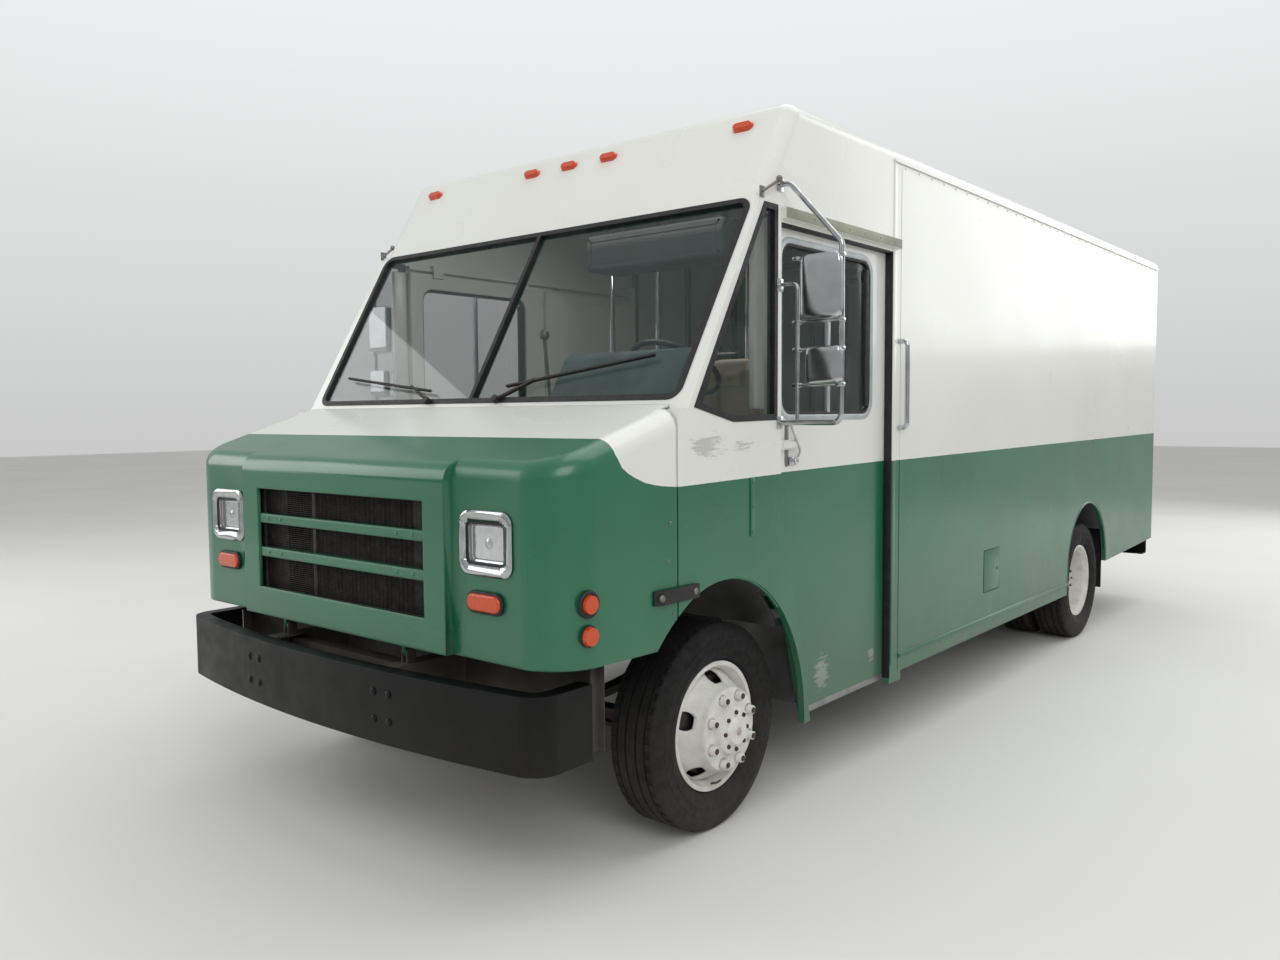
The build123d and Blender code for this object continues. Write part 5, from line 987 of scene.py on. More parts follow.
@dataclass
class Tyres:
    """Ribbed tyres with deep grooves, ridged sidewalls and sipes along the shoulders, on all six rims."""

    # Half section, from the middle of the tread: side reach and radius
    half_section: tuple[Flat, ...] = (
        (0.0, 0.4190), (0.020, 0.4189), (0.021, 0.4078), (0.028, 0.4078), (0.029, 0.4188), (0.062, 0.4181),
        (0.063, 0.4085), (0.069, 0.4085), (0.070, 0.4178), (0.093, 0.4175), (0.098, 0.4150), (0.1035, 0.4100),
        (0.1085, 0.4020), (0.112, 0.3930), (0.115, 0.3850), (0.1185, 0.3720), (0.1205, 0.3580), (0.1222, 0.3565),
        (0.1222, 0.3535), (0.1218, 0.3520), (0.1225, 0.3400), (0.1222, 0.3240), (0.1238, 0.3220), (0.1238, 0.3180),
        (0.1215, 0.3160), (0.1185, 0.3020), (0.113, 0.2880), (0.108, 0.2810), (0.1075, 0.2775), (0.106, 0.2760),
        (0.101, 0.2700), (0.093, 0.2660), (0.0847, 0.2630), (0.0847, 0.2463),
    )
    steps: int = 96
    shoulder: Flat = (0.075, 0.092)
    sipe_margin: float = 0.002
    sipe_depth: float = 0.005
    # Tyre and the body that carries it
    places: tuple[Pair, ...] = (
        ("front_tyre_left", "front_wheel_left"), ("front_tyre_right", "front_wheel_right"),
        ("rear_tyre_outer_left", "rear_wheels_left"), ("rear_tyre_outer_right", "rear_wheels_right"),
        ("rear_tyre_inner_left", "rear_wheels_left"), ("rear_tyre_inner_right", "rear_wheels_right"),
    )

    def build(self) -> None:
        """Model one tyre and set a copy on each rim."""
        first = self.moulded()
        start = middle("front_tyre_left")
        for node, body in self.places[1:]:
            tyre = copy_of(first, f"ribbed_{node}", middle(node) - start)
            hand_over(tyre, body, TYRE_RUBBER, (node,))
        hand_over(first, self.places[0][1], TYRE_RUBBER, (self.places[0][0],))

    def moulded(self) -> Object:
        """One tyre in the place of the left front one."""
        centre = middle("front_tyre_left")
        right = [(-x, r) for x, r in self.half_section[1:]]
        ring = [*self.half_section[::-1], *right, self.half_section[-1]]
        profile = [(centre.x + x, centre.y, centre.z - r) for x, r in ring]
        tyre = spun("ribbed_front_tyre_left", profile, tuple(centre), OUT, self.steps)
        pick_faces(tyre, lambda place, normal: self.on_shoulder(place - centre))
        with editing(tyre, choice=Choice.KEPT):
            bpy.ops.mesh.inset(thickness=self.sipe_margin, depth=-self.sipe_depth, use_individual=True)
        return tyre

    def on_shoulder(self, place: Vector) -> bool:
        """True for every other tread face of the shoulder ribs."""
        step = int(((Vector((place.y, place.z)).angle_signed(Vector((0.0, -1.0))) / (2 * pi)) % 1.0) * self.steps)
        return self.shoulder[0] < abs(place.x) < self.shoulder[1] and step % 2 == 0


@dataclass
class WheelHardware:
    """Rusty washers, studs, hub bolts, centre pins and valve stems on the disc wheels."""

    stud_circle: float = 0.1375
    first_stud: float = radians(22.5)
    studs: int = 8
    nut_height: float = 0.026
    hub_circle: float = 0.074
    hub_bolts: int = 8
    # Axle, node of its wheels, its y, and x of the disc's and the hub's outer face
    axles: tuple[tuple[str, str, float, float, float], ...] = (
        ("front", "front_wheel", AXLE_Y, 1.164, 1.192), ("rear", "rear_wheels", REAR_AXLE_Y, 0.934, 1.085),
    )

    def build(self) -> None:
        """Fit the front pair and the rear pair."""
        for axle, wheel, y, face, hub in self.axles:
            bodies = (f"{wheel}_left", f"{wheel}_right")
            across, rise = self.stud_circle * cos(self.first_stud), self.stud_circle * sin(self.first_stud)
            seat, centre = (face, y + across, HUB_Z + rise), (face, y, HUB_Z)
            washer = ring_on("washer", seat, OUT, pin(-0.001, 0.0245, 0.002, 0.003, 0.0235), 28)
            washers = joined(f"left_{axle}_washers", circle_of(washer, self.studs, centre, OUT))
            both_sides(washers, HUB_IRON, bodies)
            top = self.nut_height
            stud = ring_on("stud", seat, OUT, pin(top - 0.002, 0.0115, top + 0.003, top + 0.005, 0.0095), 20)
            bolt = ring_on(
                "hub_bolt", (hub, y + self.hub_circle, HUB_Z), OUT, pin(-0.002, 0.009, 0.007, 0.009, 0.007), 6
            )
            studs = circle_of(stud, self.studs, centre, OUT)
            bolts = circle_of(bolt, self.hub_bolts, (hub, y, HUB_Z), OUT)
            both_sides(joined(f"left_{axle}_studs", studs, bolts), RUSTY_IRON, bodies)
            section = ((-0.002, 0.0), (-0.002, 0.016), (0.004, 0.015), (0.007, 0.010), (0.008, 0.0))
            cap = ring_on(f"left_{axle}_cap_pin", (hub + 0.015, y, HUB_Z), OUT, section, 24)
            both_sides(cap, HUB_IRON, bodies)
            path = (
                (face - 0.050, y - 0.06, HUB_Z - 0.215), (face - 0.020, y - 0.058, HUB_Z - 0.205),
                (face - 0.004, y - 0.055, HUB_Z - 0.190),
            )
            valve = joined(f"left_{axle}_valve", tube("valve", rounded(path, 0.008, 3), 0.0045, 3))
            both_sides(valve, ZINC, bodies)


@dataclass
class BodyTrim:
    """Rub rails, door posts, arch lips, fuel door, cowl strip, door channel and rivets on the body's sides."""

    rail_z: Flat = (0.446, 0.474)
    rail_y: Flat = (1.385, 4.045)
    arch_steps: int = 44
    # Centre's y and z, half width and rise of the front arch, and the part of it that is body
    front_arch: tuple[float, float, float, float] = (-0.100, 0.360, 0.580, 0.682)
    front_arch_y: Flat = (-0.392, 0.284)
    # Centre's y in the frame and z, and radius of the rear arch
    rear_arch: Point = (1.855, 0.535, 0.465)
    # Row, y of its first rivet, count and height
    rivet_rows: tuple[tuple[str, float, int, float], ...] = (("roof", 1.42, 33, 2.852), ("skirt", 1.44, 17, 0.436))
    rivet_step: float = 0.152

    def build(self) -> None:
        """Fit both sides."""
        self.rub_rails()
        self.posts()
        self.arch_lips()
        self.fuel_door()
        self.cowl_strip()
        self.door_header()
        self.rivets()

    def rub_rails(self) -> None:
        """A pressed rub rail low on each wall, ahead of the rear arch."""
        (low, high), (start, end) = self.rail_z, self.rail_y
        section = ((0, low), (0.009, low + 0.004), (0.012, (low + high) / 2), (0.009, high - 0.004), (0, high))
        rail = panel("left_rub_rail", [at(WALL_X + x, start, z) for x, z in section], (0, end - start, 0), 0.0015)
        both_sides(rail, GREEN_PAINT)

    def posts(self) -> None:
        """The bright seam strip behind the door opening, with its black weather groove."""
        strip = slab("left_door_post_trim", (WALL_X - 0.001, 1.296, 0.430), (WALL_X + 0.0035, 1.330, 2.876), 0.0015)
        both_sides(strip, BODY_PAINT)
        seal = slab("left_door_post_seal", (WALL_X - 0.0345, 1.2835, 0.365), (WALL_X + 0.0032, 1.2895, 2.438), 0.0015)
        both_sides(seal, BLACK_RUBBER)

    def arch_lips(self) -> None:
        """Rolled edges round both wheel openings."""
        shares = [k / self.arch_steps for k in range(self.arch_steps + 1)]
        y0, z0, half, rise = self.front_arch
        low, high = self.front_arch_y
        front = [(y0 - half * cos(pi * share), z0 + rise * sin(pi * share)) for share in shares]
        front_points = [at(WALL_X - 0.012, y, z) for y, z in front if low <= y <= high]
        y0, z0, radius = self.rear_arch
        turns = [radians(-12) + radians(182) * share for share in shares]
        rear_points = [(WALL_X - 0.004, y0 - radius * cos(turn), z0 + radius * sin(turn)) for turn in turns]
        for name, points, thick in (("front", front_points, 0.007), ("rear", rear_points, 0.009)):
            both_sides(tube(f"left_{name}_arch_lip", points, thick, 3), BODY_PAINT)

    def fuel_door(self) -> None:
        """The filler door: a flush lid in a rubber line, with a small finger catch."""
        depth = (0.0022, 0, 0)
        edge = outline(Facing.SIDE, WALL_X + 0.0018, (2.50, 0.62), (2.74, 0.86), 0.012)
        hand_over(panel("fuel_door", edge, depth, 0.0012), "chassis", GREEN_PAINT)
        rim = outline(Facing.SIDE, WALL_X + 0.0005, (2.494, 0.614), (2.746, 0.866), 0.014)
        hand_over(gasket("fuel_door_gap", rim, 0.006, depth, 0.0005), "chassis", BLACK_RUBBER)
        section = ((-0.001, 0.0), (-0.001, 0.011), (0.003, 0.011), (0.0045, 0.008), (0.0035, 0.003), (0.0035, 0.0))
        catch = ring_on("fuel_door_latch", at(WALL_X + 0.004, 2.715, 0.74), OUT, section, 24)
        hand_over(catch, "chassis", ZINC)

    def cowl_strip(self) -> None:
        """The raised seam cover on the cowl's side, with three screws."""
        cover = slab(
            "left_cowl_cover_strip", (WALL_X - 0.001, 0.060, 1.189), (WALL_X + 0.006, 0.086, 1.420), 0.0028, 3
        )
        both_sides(cover, GREEN_PAINT)
        heads = [screw(at(WALL_X + 0.0058, 0.073, z)) for z in (1.206, 1.305, 1.403)]
        both_sides(joined("left_cowl_strip_screws", *heads), GREEN_PAINT)

    def door_header(self) -> None:
        """Cover and screws of the channel that the door hangs from, in a painted shade grey, and below it a black strip
        that is painted shade of the overhang's shadow.
        """
        # Painted shade: a black strip where the channel's overhang casts its shadow
        brush = slab("left_header_brush", (1.176, 0.296, 2.432), (1.2195, 1.290, 2.4545), 0.002)
        both_sides(brush, BLACK_RUBBER)
        # The cover's olive grey is painted shade of the white channel
        cover = slab("left_header_cover", (1.2435, 0.2885, 2.4565), (1.2452, 1.3385, 2.4995), 0.0007)
        both_sides(cover, SHADED_HEADER_GREY)
        heads = [screw(at(1.2450, 0.36 + 0.15 * k, 2.478), OUT, 0.005, 0.002) for k in range(7)]
        both_sides(joined("left_header_screws", *heads), ZINC)

    def rivets(self) -> None:
        """Rows of flat rivets along the roof rail and the skirt of both walls."""
        for name, start, count, z in self.rivet_rows:
            head = screw(at(WALL_X + 0.0015, start, z), OUT, 0.0055, 0.0022)
            rivets = row(f"left_{name}_rivets", head, (0, self.rivet_step, 0), count)
            both_sides(rivets, BODY_PAINT)


@dataclass
class DoorTrim:
    """Pieces that ride on a pair of doors."""

    bodies: Pair

    def fit(self, piece: Object, finish: Finish, slot: str = "stainless") -> None:
        """Hand over a piece of the left door and its mirror image on the right one."""
        both_sides(piece, finish, self.bodies)


@dataclass
class SlidingDoors(DoorTrim):
    """Window frames, dividers, seals, bottom trims, levers and inner pulls of the two sliding cab doors."""

    bodies: Pair = ("door_left", "door_right")
    face_x: float = 1.182
    inner_x: float = 1.150
    # Window: low and high y, low and high z, corner radius, and how far its frame laps over the panel
    window: tuple[float, float, float, float] = (0.345, 1.138, 1.662, 2.380)
    corner: float = 0.070
    lap: float = 0.022
    divider_y: float = 0.735
    # Start and height of each rib on the inner face
    ribs: tuple[Flat, ...] = ((0.56, 0.62), (0.34, 1.02), (0.34, 1.58))

    def build(self) -> None:
        """Fit both doors."""
        self.glazing()
        self.trim()
        self.handle()
        self.inside()

    def glazing(self) -> None:
        """The window's frame, seal and divider, and the rubber at its rear end."""
        x, lap, (y0, y1, z0, z1) = self.face_x, self.lap, self.window
        ring = outline(Facing.SIDE, x - 0.004, (y0 - lap, z0 - lap), (y1 + lap, z1 + lap), self.corner + lap)
        self.fit(gasket("left_door_window_frame", ring, 0.026, (0.0065, 0, 0)), WINDOW_TRIM)
        seal = outline(Facing.SIDE, x - 0.018, (y0, z0), (y1, z1), self.corner)
        self.fit(gasket("left_door_window_seal", seal, 0.016, (0.018, 0, 0), 0.003), BLACK_RUBBER, "rubber")
        low, high = (x - 0.018, self.divider_y, z0 + 0.012), (x + 0.0005, self.divider_y + 0.024, z1 - 0.012)
        self.fit(slab("left_door_window_divider", low, high), WINDOW_TRIM)
        low, high = (x - 0.016, y1 - 0.046, z0 + 0.040), (x + 0.0015, y1 - 0.012, z1 - 0.040)
        self.fit(slab("left_door_rear_window_seal", low, high, 0.006, 3), BLACK_RUBBER, "rubber")

    def trim(self) -> None:
        """The bottom trim with its screws, and the seal along the rear edge."""
        x = self.face_x
        strip = slab("left_door_bottom_trim", (x - 0.002, 0.530, 0.358), (x + 0.0028, 1.286, 0.386), 0.0012)
        self.fit(strip, ALUMINIUM)
        head = screw(at(x + 0.0015, 0.58, 0.372), OUT, 0.005, 0.0014)
        self.fit(row("left_door_trim_screws", head, (0, 0.165, 0), 5), ZINC)
        seal = slab("left_door_edge_seal", (self.inner_x + 0.004, 1.2895, 0.372), (x + 0.001, 1.302, 2.440))
        self.fit(seal, BLACK_RUBBER, "rubber")

    def handle(self) -> None:
        """The outer handle: a dark plate with a chromed lever that hangs to its catch."""
        x = self.face_x
        edge = outline(Facing.SIDE, x - 0.001, (0.376, 1.448), (0.404, 1.632), 0.010)
        self.fit(panel("left_door_handle_plate", edge, (0.0035, 0, 0), 0.001), ZINC)
        path = (
            at(x + 0.001, 0.392, 1.622), at(x + 0.020, 0.396, 1.622), at(x + 0.024, 0.430, 1.560),
            at(x + 0.022, 0.466, 1.512), at(x + 0.010, 0.468, 1.486),
        )
        lever = tube("lever", rounded(path, 0.010, 5), 0.0052, 4)
        section = ((-0.001, 0.0), (-0.001, 0.016), (0.010, 0.015), (0.013, 0.012), (0.009, 0.005), (0.009, 0.0))
        catch = ring_on("catch", at(x, 0.458, 1.470), OUT, section, 28)
        keeper = slab("keeper", (x - 0.001, 0.404, 1.452), (x + 0.008, 0.446, 1.488))
        self.fit(joined("left_door_handle", lever, catch, keeper), CHROME, "chrome")

    def inside(self) -> None:
        """Ribs and a flush pull on the inner face, shallow enough to pass beside the wall's pocket liner."""
        x = self.inner_x
        edge = outline(Facing.SIDE, x - 0.006, (1.185, 1.20), (1.240, 1.44), 0.020)
        rim = gasket("pull_rim", edge, 0.010, (0.007, 0, 0))
        edge = outline(Facing.SIDE, x - 0.001, (1.192, 1.208), (1.233, 1.432), 0.014)
        back = panel("pull_back", edge, (0.002, 0, 0))
        self.fit(joined("left_door_inner_pull", rim, back), ZINC)
        ribs = [slab("rib", (x - 0.007, y, z), (x + 0.002, 1.262, z + 0.040), 0.004) for y, z in self.ribs]
        self.fit(joined("left_door_inner_ribs", *ribs), WHITE_PAINT, "body_white")


@dataclass
class RearDoors(DoorTrim):
    """Window gaskets, hinge leaves and latch rods on the two swinging rear doors, and the step's treads below."""

    bodies: Pair = ("rear_door_left", "rear_door_right")
    hinge_levels: Point = (1.006, 1.713, 2.420)
    rod_x: float = 0.150
    rod_runs: tuple[Flat, ...] = ((1.47, 2.56), (0.87, 1.37))
    guide_levels: tuple[float, ...] = (0.90, 1.26, 1.56, 2.02, 2.50)
    tread_step: float = 0.0404
    treads: int = 56

    def build(self) -> None:
        """Fit both doors and the step."""
        low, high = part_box("rear_pane_left")
        y = self.outer_face()
        edge = outline(Facing.END, y - 0.004, (low.x - 0.012, low.z - 0.012), (high.x + 0.012, high.z + 0.012), 0.050)
        self.fit(gasket("left_rear_window_gasket", edge, 0.026, (0, 0.012, 0), 0.004), BLACK_RUBBER, "rubber")
        leaves = [
            block("leaf", (0.765, y - 0.002, z - 0.030), (0.850, y + 0.005, z + 0.030), 0.002)
            for z in self.hinge_levels
        ]
        self.fit(joined("left_rear_hinge_leaves", *leaves), ZINC)
        bolts = [
            screw((x, y + 0.005, z + rise), BACK, 0.007, 0.004)
            for z in self.hinge_levels for rise in (-0.016, 0.016) for x in (0.785, 0.829)
        ]
        self.fit(joined("left_rear_hinge_bolts", *bolts), ZINC)
        x = self.rod_x
        rods = [rod("rod", (x, y + 0.010, z0), (x, y + 0.010, z1), 0.007, 16) for z0, z1 in self.rod_runs]
        guides = [
            block("guide", (x - 0.016, y - 0.001, z), (x + 0.016, y + 0.018, z + 0.024)) for z in self.guide_levels
        ]
        self.fit(joined("left_rear_latch_rods", *rods, *guides), ZINC)
        tread = block("tread", (-1.130, 3.700, 0.5475), (-1.118, 3.790, 0.5505), 0.001, 1)
        treads = row("rear_step_treads", tread, (self.tread_step, 0, 0), self.treads)
        hand_over(treads, "chassis", BUMPER_PAINT)

    def outer_face(self) -> float:
        """Y of the door panel's outer face, found from its largest flat facets that face back."""
        best: dict[float, float] = {}
        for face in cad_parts["rear_door_left"].data.polygons:
            if face.normal.y > 0.99:
                key = round(face.center.y, 3)
                best[key] = best.get(key, 0.0) + face.area
        return max(best, key=best.get)


@dataclass
class Nose:
    """Fine radiator screen, bar bolts, lamp bases, headlamp bowls, seam screws, bumper bolts, pins and baffles."""

    bar_levels: Flat = (1.104, 1.246)
    bar_bolt_x: tuple[float, ...] = (-0.484, -0.39, 0.39, 0.484)
    wire_pitch: float = 0.0085
    upright_pitch: float = 0.0245
    bar_bolt_y: float = -1.0108
    # Near headlamp: low and high x, low and high z; then the y of its front
    headlamp: tuple[float, float, float, float] = (0.752, 0.952, 1.165, 1.315)
    headlamp_y: float = -0.987
    # Steps of the reflector bowl: how far in and how far back
    bowl_steps: tuple[Flat, ...] = ((0.012, 0.0045), (0.014, 0.0035), (0.014, 0.0020), (0.012, 0.0008))
    # Turn lamp: x and z of its centre, width and height; then the y of its base
    turn_lamp: Flat = (0.848, 1.038)
    turn_lamp_size: Flat = (0.182, 0.078)
    turn_lamp_y: float = -0.9985
    side_lamp_y: float = -0.850
    # Side lamp, its height and the section of its rubber rim
    side_lamps: tuple[tuple[str, float, tuple[Flat, ...]], ...] = (
        ("upper", 1.052, ((-0.001, 0.0335), (-0.001, 0.047), (0.006, 0.046), (0.009, 0.042), (0.009, 0.0335),
                          (-0.001, 0.0335))),
        ("lower", 0.946, ((-0.001, 0.033), (-0.001, 0.038), (0.004, 0.0375), (0.005, 0.035), (0.005, 0.033),
                          (-0.001, 0.033))),
    )
    seam_screw_places: tuple[Flat, ...] = ((-0.447, 1.286), (-0.456, 1.151), (-0.431, 0.956))
    # The bumper's face bows back from this y with this radius
    bumper_y: float = -3.805
    bumper_bow: float = 6.2
    bumper_bolt_x: Flat = (0.39, 0.47)
    bumper_bolt_z: Flat = (0.585, 0.685)

    def build(self) -> None:
        """Dress the nose."""
        self.screen()
        self.bar_bolts()
        self.headlamps()
        self.lamp_bases()
        self.seam_screws()
        self.bumper_bolts()
        self.latches()
        self.baffles()

    def side_x(self, y: float) -> float:
        """X of the leaning side wall at a place back from the front axle."""
        return WALL_X + (y - LEAN_START) * LEAN

    def screen(self) -> None:
        """The insect screen: fine wires in a flat frame, in place of the coarse one."""
        low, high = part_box("grille_screen")
        y = (low.y + high.y) / 2
        wire = rod("wire", (low.x, y, low.z + 0.004), (high.x, y, low.z + 0.004), 0.0016, 6, 0.0004)
        wires = row("wires", wire, (0, 0, self.wire_pitch), int((high.z - low.z) / self.wire_pitch))
        x = low.x + 0.012
        upright = rod("upright", (x, y + 0.002, low.z), (x, y + 0.002, high.z), 0.0014, 6, 0.0004)
        count = int((high.x - low.x - 0.02) / self.upright_pitch)
        uprights = row("uprights", upright, (self.upright_pitch, 0, 0), count)
        corners = [(a, low.y, b) for a, b in ((low.x, low.z), (high.x, low.z), (high.x, high.z), (low.x, high.z))]
        border = gasket("border", corners, 0.020, (0, high.y - low.y, 0))
        post = block("post", (-0.202, low.y, low.z), (-0.178, high.y, high.z), 0.002)
        screen = joined("fine_grille_screen", border, post, wires, uprights)
        hand_over(screen, "hood", SCREEN_WIRE, ("grille_screen",))

    def bar_bolts(self) -> None:
        """Round-headed bolts near both ends of the two grille bars."""
        places = [at(x, self.bar_bolt_y, z) for x in self.bar_bolt_x for z in self.bar_levels]
        bolts = [screw(place, AHEAD, 0.0085, 0.0045) for place in places]
        hand_over(joined("grille_bar_bolts", *bolts), "hood", GREEN_PAINT)

    def headlamps(self) -> None:
        """Reflector bowls, bulbs and gaskets of the headlamps."""
        x0, x1, z0, z1 = self.headlamp
        front = along(self.headlamp_y)
        edge = outline(Facing.END, front + 0.010, (x0 + 0.006, z0 + 0.006), (x1 - 0.006, z1 - 0.006), 0.022)
        bowl = panel("left_headlamp_bowl", edge, (0, 0.004, 0))
        pick_faces(bowl, lambda place, normal: normal.y < -0.9)
        with editing(bowl, choice=Choice.KEPT):
            for margin, sink in self.bowl_steps:
                bpy.ops.mesh.inset(thickness=margin, depth=-sink, use_even_offset=True)
        both_sides(bowl, REFLECTOR, HOOD)
        section = ((0.0, 0.0), (0.0, 0.021), (0.007, 0.019), (0.0105, 0.013), (0.012, 0.0))
        bulb = ring_on("left_headlamp_bulb", ((x0 + x1) / 2, front + 0.020, (z0 + z1) / 2), AHEAD, section, 32)
        both_sides(bulb, CHROME, HOOD)
        edge = outline(Facing.END, front - 0.0045, (x0 - 0.002, z0 - 0.002), (x1 + 0.002, z1 + 0.002), 0.026)
        both_sides(gasket("left_headlamp_gasket", edge, 0.013, (0, 0.006, 0)), BLACK_RUBBER, HOOD)

    def lamp_bases(self) -> None:
        """Rubber bases of the turn lamps and rims of the side lamps."""
        (x, z), (wide, tall) = self.turn_lamp, self.turn_lamp_size
        low, high = (x - wide / 2, z - tall / 2), (x + wide / 2, z + tall / 2)
        edge = outline(Facing.END, along(self.turn_lamp_y), low, high, 0.036)
        both_sides(panel("left_turn_lamp_base", edge, (0, 0.014, 0), 0.004), BLACK_RUBBER, HOOD)
        for name, z, section in self.side_lamps:
            seat = at(self.side_x(self.side_lamp_y), self.side_lamp_y, z)
            rim = ring_on(f"left_{name}_side_lamp_rim", seat, (1, -LEAN, 0), section)
            both_sides(rim, BLACK_RUBBER, HOOD)

    def seam_screws(self) -> None:
        """Zinc screws down the nose's rear edge."""
        heads = [screw(at(self.side_x(y) - 0.0005, y, z), OUT, 0.0075, 0.004) for y, z in self.seam_screw_places]
        both_sides(joined("left_nose_seam_screws", *heads), ZINC, HOOD)

    def bumper_bolts(self) -> None:
        """Carriage bolts that hold the front bumper to the frame horns."""
        bow = self.bumper_bow
        bolts = [
            screw((x, self.bumper_y + bow - sqrt(bow ** 2 - x ** 2), z), AHEAD, 0.015, 0.007)
            for x in self.bumper_bolt_x for z in self.bumper_bolt_z
        ]
        both_sides(joined("left_bumper_bolts", *bolts), BUMPER_PAINT)

    def latches(self) -> None:
        """Pins at both ends of the rubber hood latches."""
        low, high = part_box("hood_latches")
        section = ((-0.003, 0.0), (-0.003, 0.013), (0.006, 0.013), (0.009, 0.010), (0.010, 0.0))
        seats = [(WALL_X + 0.012, y, (low.z + high.z) / 2) for y in (low.y + 0.024, high.y - 0.024)]
        pins = [ring_on("pin", seat, OUT, section, 20) for seat in seats]
        both_sides(joined("left_latch_pins", *pins), ZINC, HOOD)

    def baffles(self) -> None:
        """Black sheets round the radiator opening, and the splash apron behind the bumper, which also darkens the gaps
        under the nose as painted shade.
        """
        sheet = slab("sheet", (0.424, -0.957, 0.880), (0.700, -0.954, 1.400), 0.001)
        duct = slab("duct", (0.4235, -0.956, 0.900), (0.4270, -0.792, 1.400), 0.001)
        both_sides(joined("left_grille_baffle", sheet, duct), BLACK_RUBBER, HOOD)
        pan = slab("grille_duct_floor", (-0.4235, -0.956, 0.900), (0.4235, -0.852, 0.903), 0.001)
        hand_over(pan, "hood", BLACK_RUBBER)
        # Partly a real splash apron, partly painted shade: black sheets whose wings reach up to fill the gap under the
        # nose, where only shade shows
        centre = slab("apron_shade_sheet", (-0.330, -0.742, 0.525), (0.330, -0.738, 0.760), 0.0015)
        wing = slab("wing", (0.445, -0.742, 0.525), (1.160, -0.738, 0.832), 0.0015)
        end = slab("end", (1.133, -0.785, 0.525), (1.137, -0.740, 0.832), 0.0015)
        both_sides(joined("left_splash_apron", wing, end), CHASSIS_PAINT)
        hand_over(centre, "chassis", CHASSIS_PAINT)


@dataclass
class Mirrors:
    """Bent mirror tubes with clamps, domed stainless heads, silvered glass and ball brackets, on both doors' fronts."""

    y: float = 0.274
    tube_radius: float = 0.011
    inner_radius: float = 0.0077
    out_x: float = 1.512
    in_x: float = 1.304
    top_z: float = 2.585
    elbow_z: float = 2.330
    arm_z: float = 2.188
    low_z: float = 1.634
    dome: float = 0.033
    foot_gap: float = 0.0003
    clamp_end: float = 1.513
    # Heads: low and high x, low and high z
    heads: tuple[tuple[str, float, float, float, float], ...] = (
        ("upper", 1.333, 1.513, 2.036, 2.292), ("lower", 1.360, 1.513, 1.787, 1.933),
    )

    def build(self) -> None:
        """Make the left mirror and its mirror image."""
        y, foot = along(self.y), WALL_X + self.foot_gap
        out_x = self.out_x - self.tube_radius
        path = (
            (foot, y, self.top_z), (1.27, y, self.top_z), (out_x, y, self.elbow_z), (out_x, y, self.low_z),
            (foot, y, self.low_z),
        )
        inner_path = ((foot, y, self.arm_z), (self.in_x, y, self.arm_z), (self.in_x, y, self.low_z))
        pieces = [
            tube("loop", rounded(path, 0.036, 8), self.tube_radius, 5),
            tube("inner", rounded(inner_path, 0.026, 8), self.inner_radius, 4),
        ]
        for _, x0, x1, z0, z1 in self.heads:
            for z in (z1 - 0.010, z0 - 0.004):
                pieces.append(rod("bar", (self.in_x - 0.004, y - 0.012, z), (x1 - 0.002, y - 0.012, z), 0.006, 12))
                for x in (self.in_x, out_x):
                    end_x = min(x + 0.015, self.clamp_end)
                    clamp = block("clamp", (x - 0.015, y - 0.022, z - 0.009), (end_x, y + 0.014, z + 0.009), 0.004)
                    pieces.append(clamp)
        for z in (self.top_z, self.arm_z, self.low_z):
            plate = block("foot", (WALL_X, y - 0.022, z - 0.026), (foot + 0.0045, y + 0.022, z + 0.026), 0.0015)
            pieces += [plate, *(screw((foot + 0.004, y, z + step)) for step in (-0.017, 0.017))]
        loop = joined("left_mirror_frame", *pieces)
        both_sides(loop, CHROME, CHASSIS, ("mirror_left", "mirror_right"))
        for name, x0, x1, z0, z1 in self.heads:
            self.head(f"left_{name}_mirror", x0, x1, z0, z1)
        self.ball_bracket()

    def head(self, name: str, x0: float, x1: float, z0: float, z1: float) -> None:
        """One head: a domed pressed shell, its rolled rim and the silvered glass that faces back."""
        y = along(self.y)
        select_only()
        bpy.ops.mesh.primitive_cube_add(
            size=1, location=((x0 + x1) / 2, y - 0.009, (z0 + z1) / 2), scale=(x1 - x0, self.dome * 2, z1 - z0)
        )
        shell = named(f"{name}_shell")
        with editing(shell):
            bpy.ops.mesh.subdivide(number_cuts=3)
        modify(shell, "SUBSURF", levels=3, render_levels=3)
        with editing(shell):
            bpy.ops.mesh.bisect(plane_co=(0, y - 0.0095, 0), plane_no=BACK, use_fill=True, clear_outer=True)
        both_sides(outward(shell), STAINLESS)
        low, high = (x0 + 0.012, y - 0.0365, z1 - 0.030), (x1 - 0.004, y - 0.030, z1 - 0.018)
        both_sides(block(f"{name}_band", low, high), CHROME)
        edge = outline(Facing.END, y - 0.0105, (x0, z0), (x1, z1), 0.028)
        both_sides(gasket(f"{name}_rim", edge, 0.008, (0, 0.0035, 0), 0.0012), BLACK_RUBBER)
        edge = outline(Facing.END, y - 0.0092, (x0 + 0.007, z0 + 0.007), (x1 - 0.007, z1 - 0.007), 0.022)
        both_sides(panel(f"{name}_glass", edge, (0, 0.0012, 0)), MIRROR_SILVER)

    def ball_bracket(self) -> None:
        """The ball joint and short arm at the top of the loop."""
        y, z = along(self.y), self.top_z
        ball = (1.250, y - 0.050, z + 0.013)
        link = (1.250, y - 0.050, z + 0.010)
        section = (
            (-0.014, 0.0), (-0.012, 0.007), (-0.007, 0.012), (0.0, 0.014), (0.007, 0.012), (0.012, 0.007), (0.014, 0.0),
        )
        pieces = [
            ring_on("ball", ball, UP, section, 24),
            rod("link", (1.2405, y - 0.002, z + 0.002), link, 0.007, 14),
            rod("arm", link, (1.2215, y - 0.132, z - 0.046), 0.006, 14),
            block("foot", (WALL_X, y - 0.150, z - 0.068), (WALL_X + 0.004, y - 0.116, z - 0.024), 0.001),
        ]
        both_sides(joined("left_mirror_bracket", *pieces), ZINC)


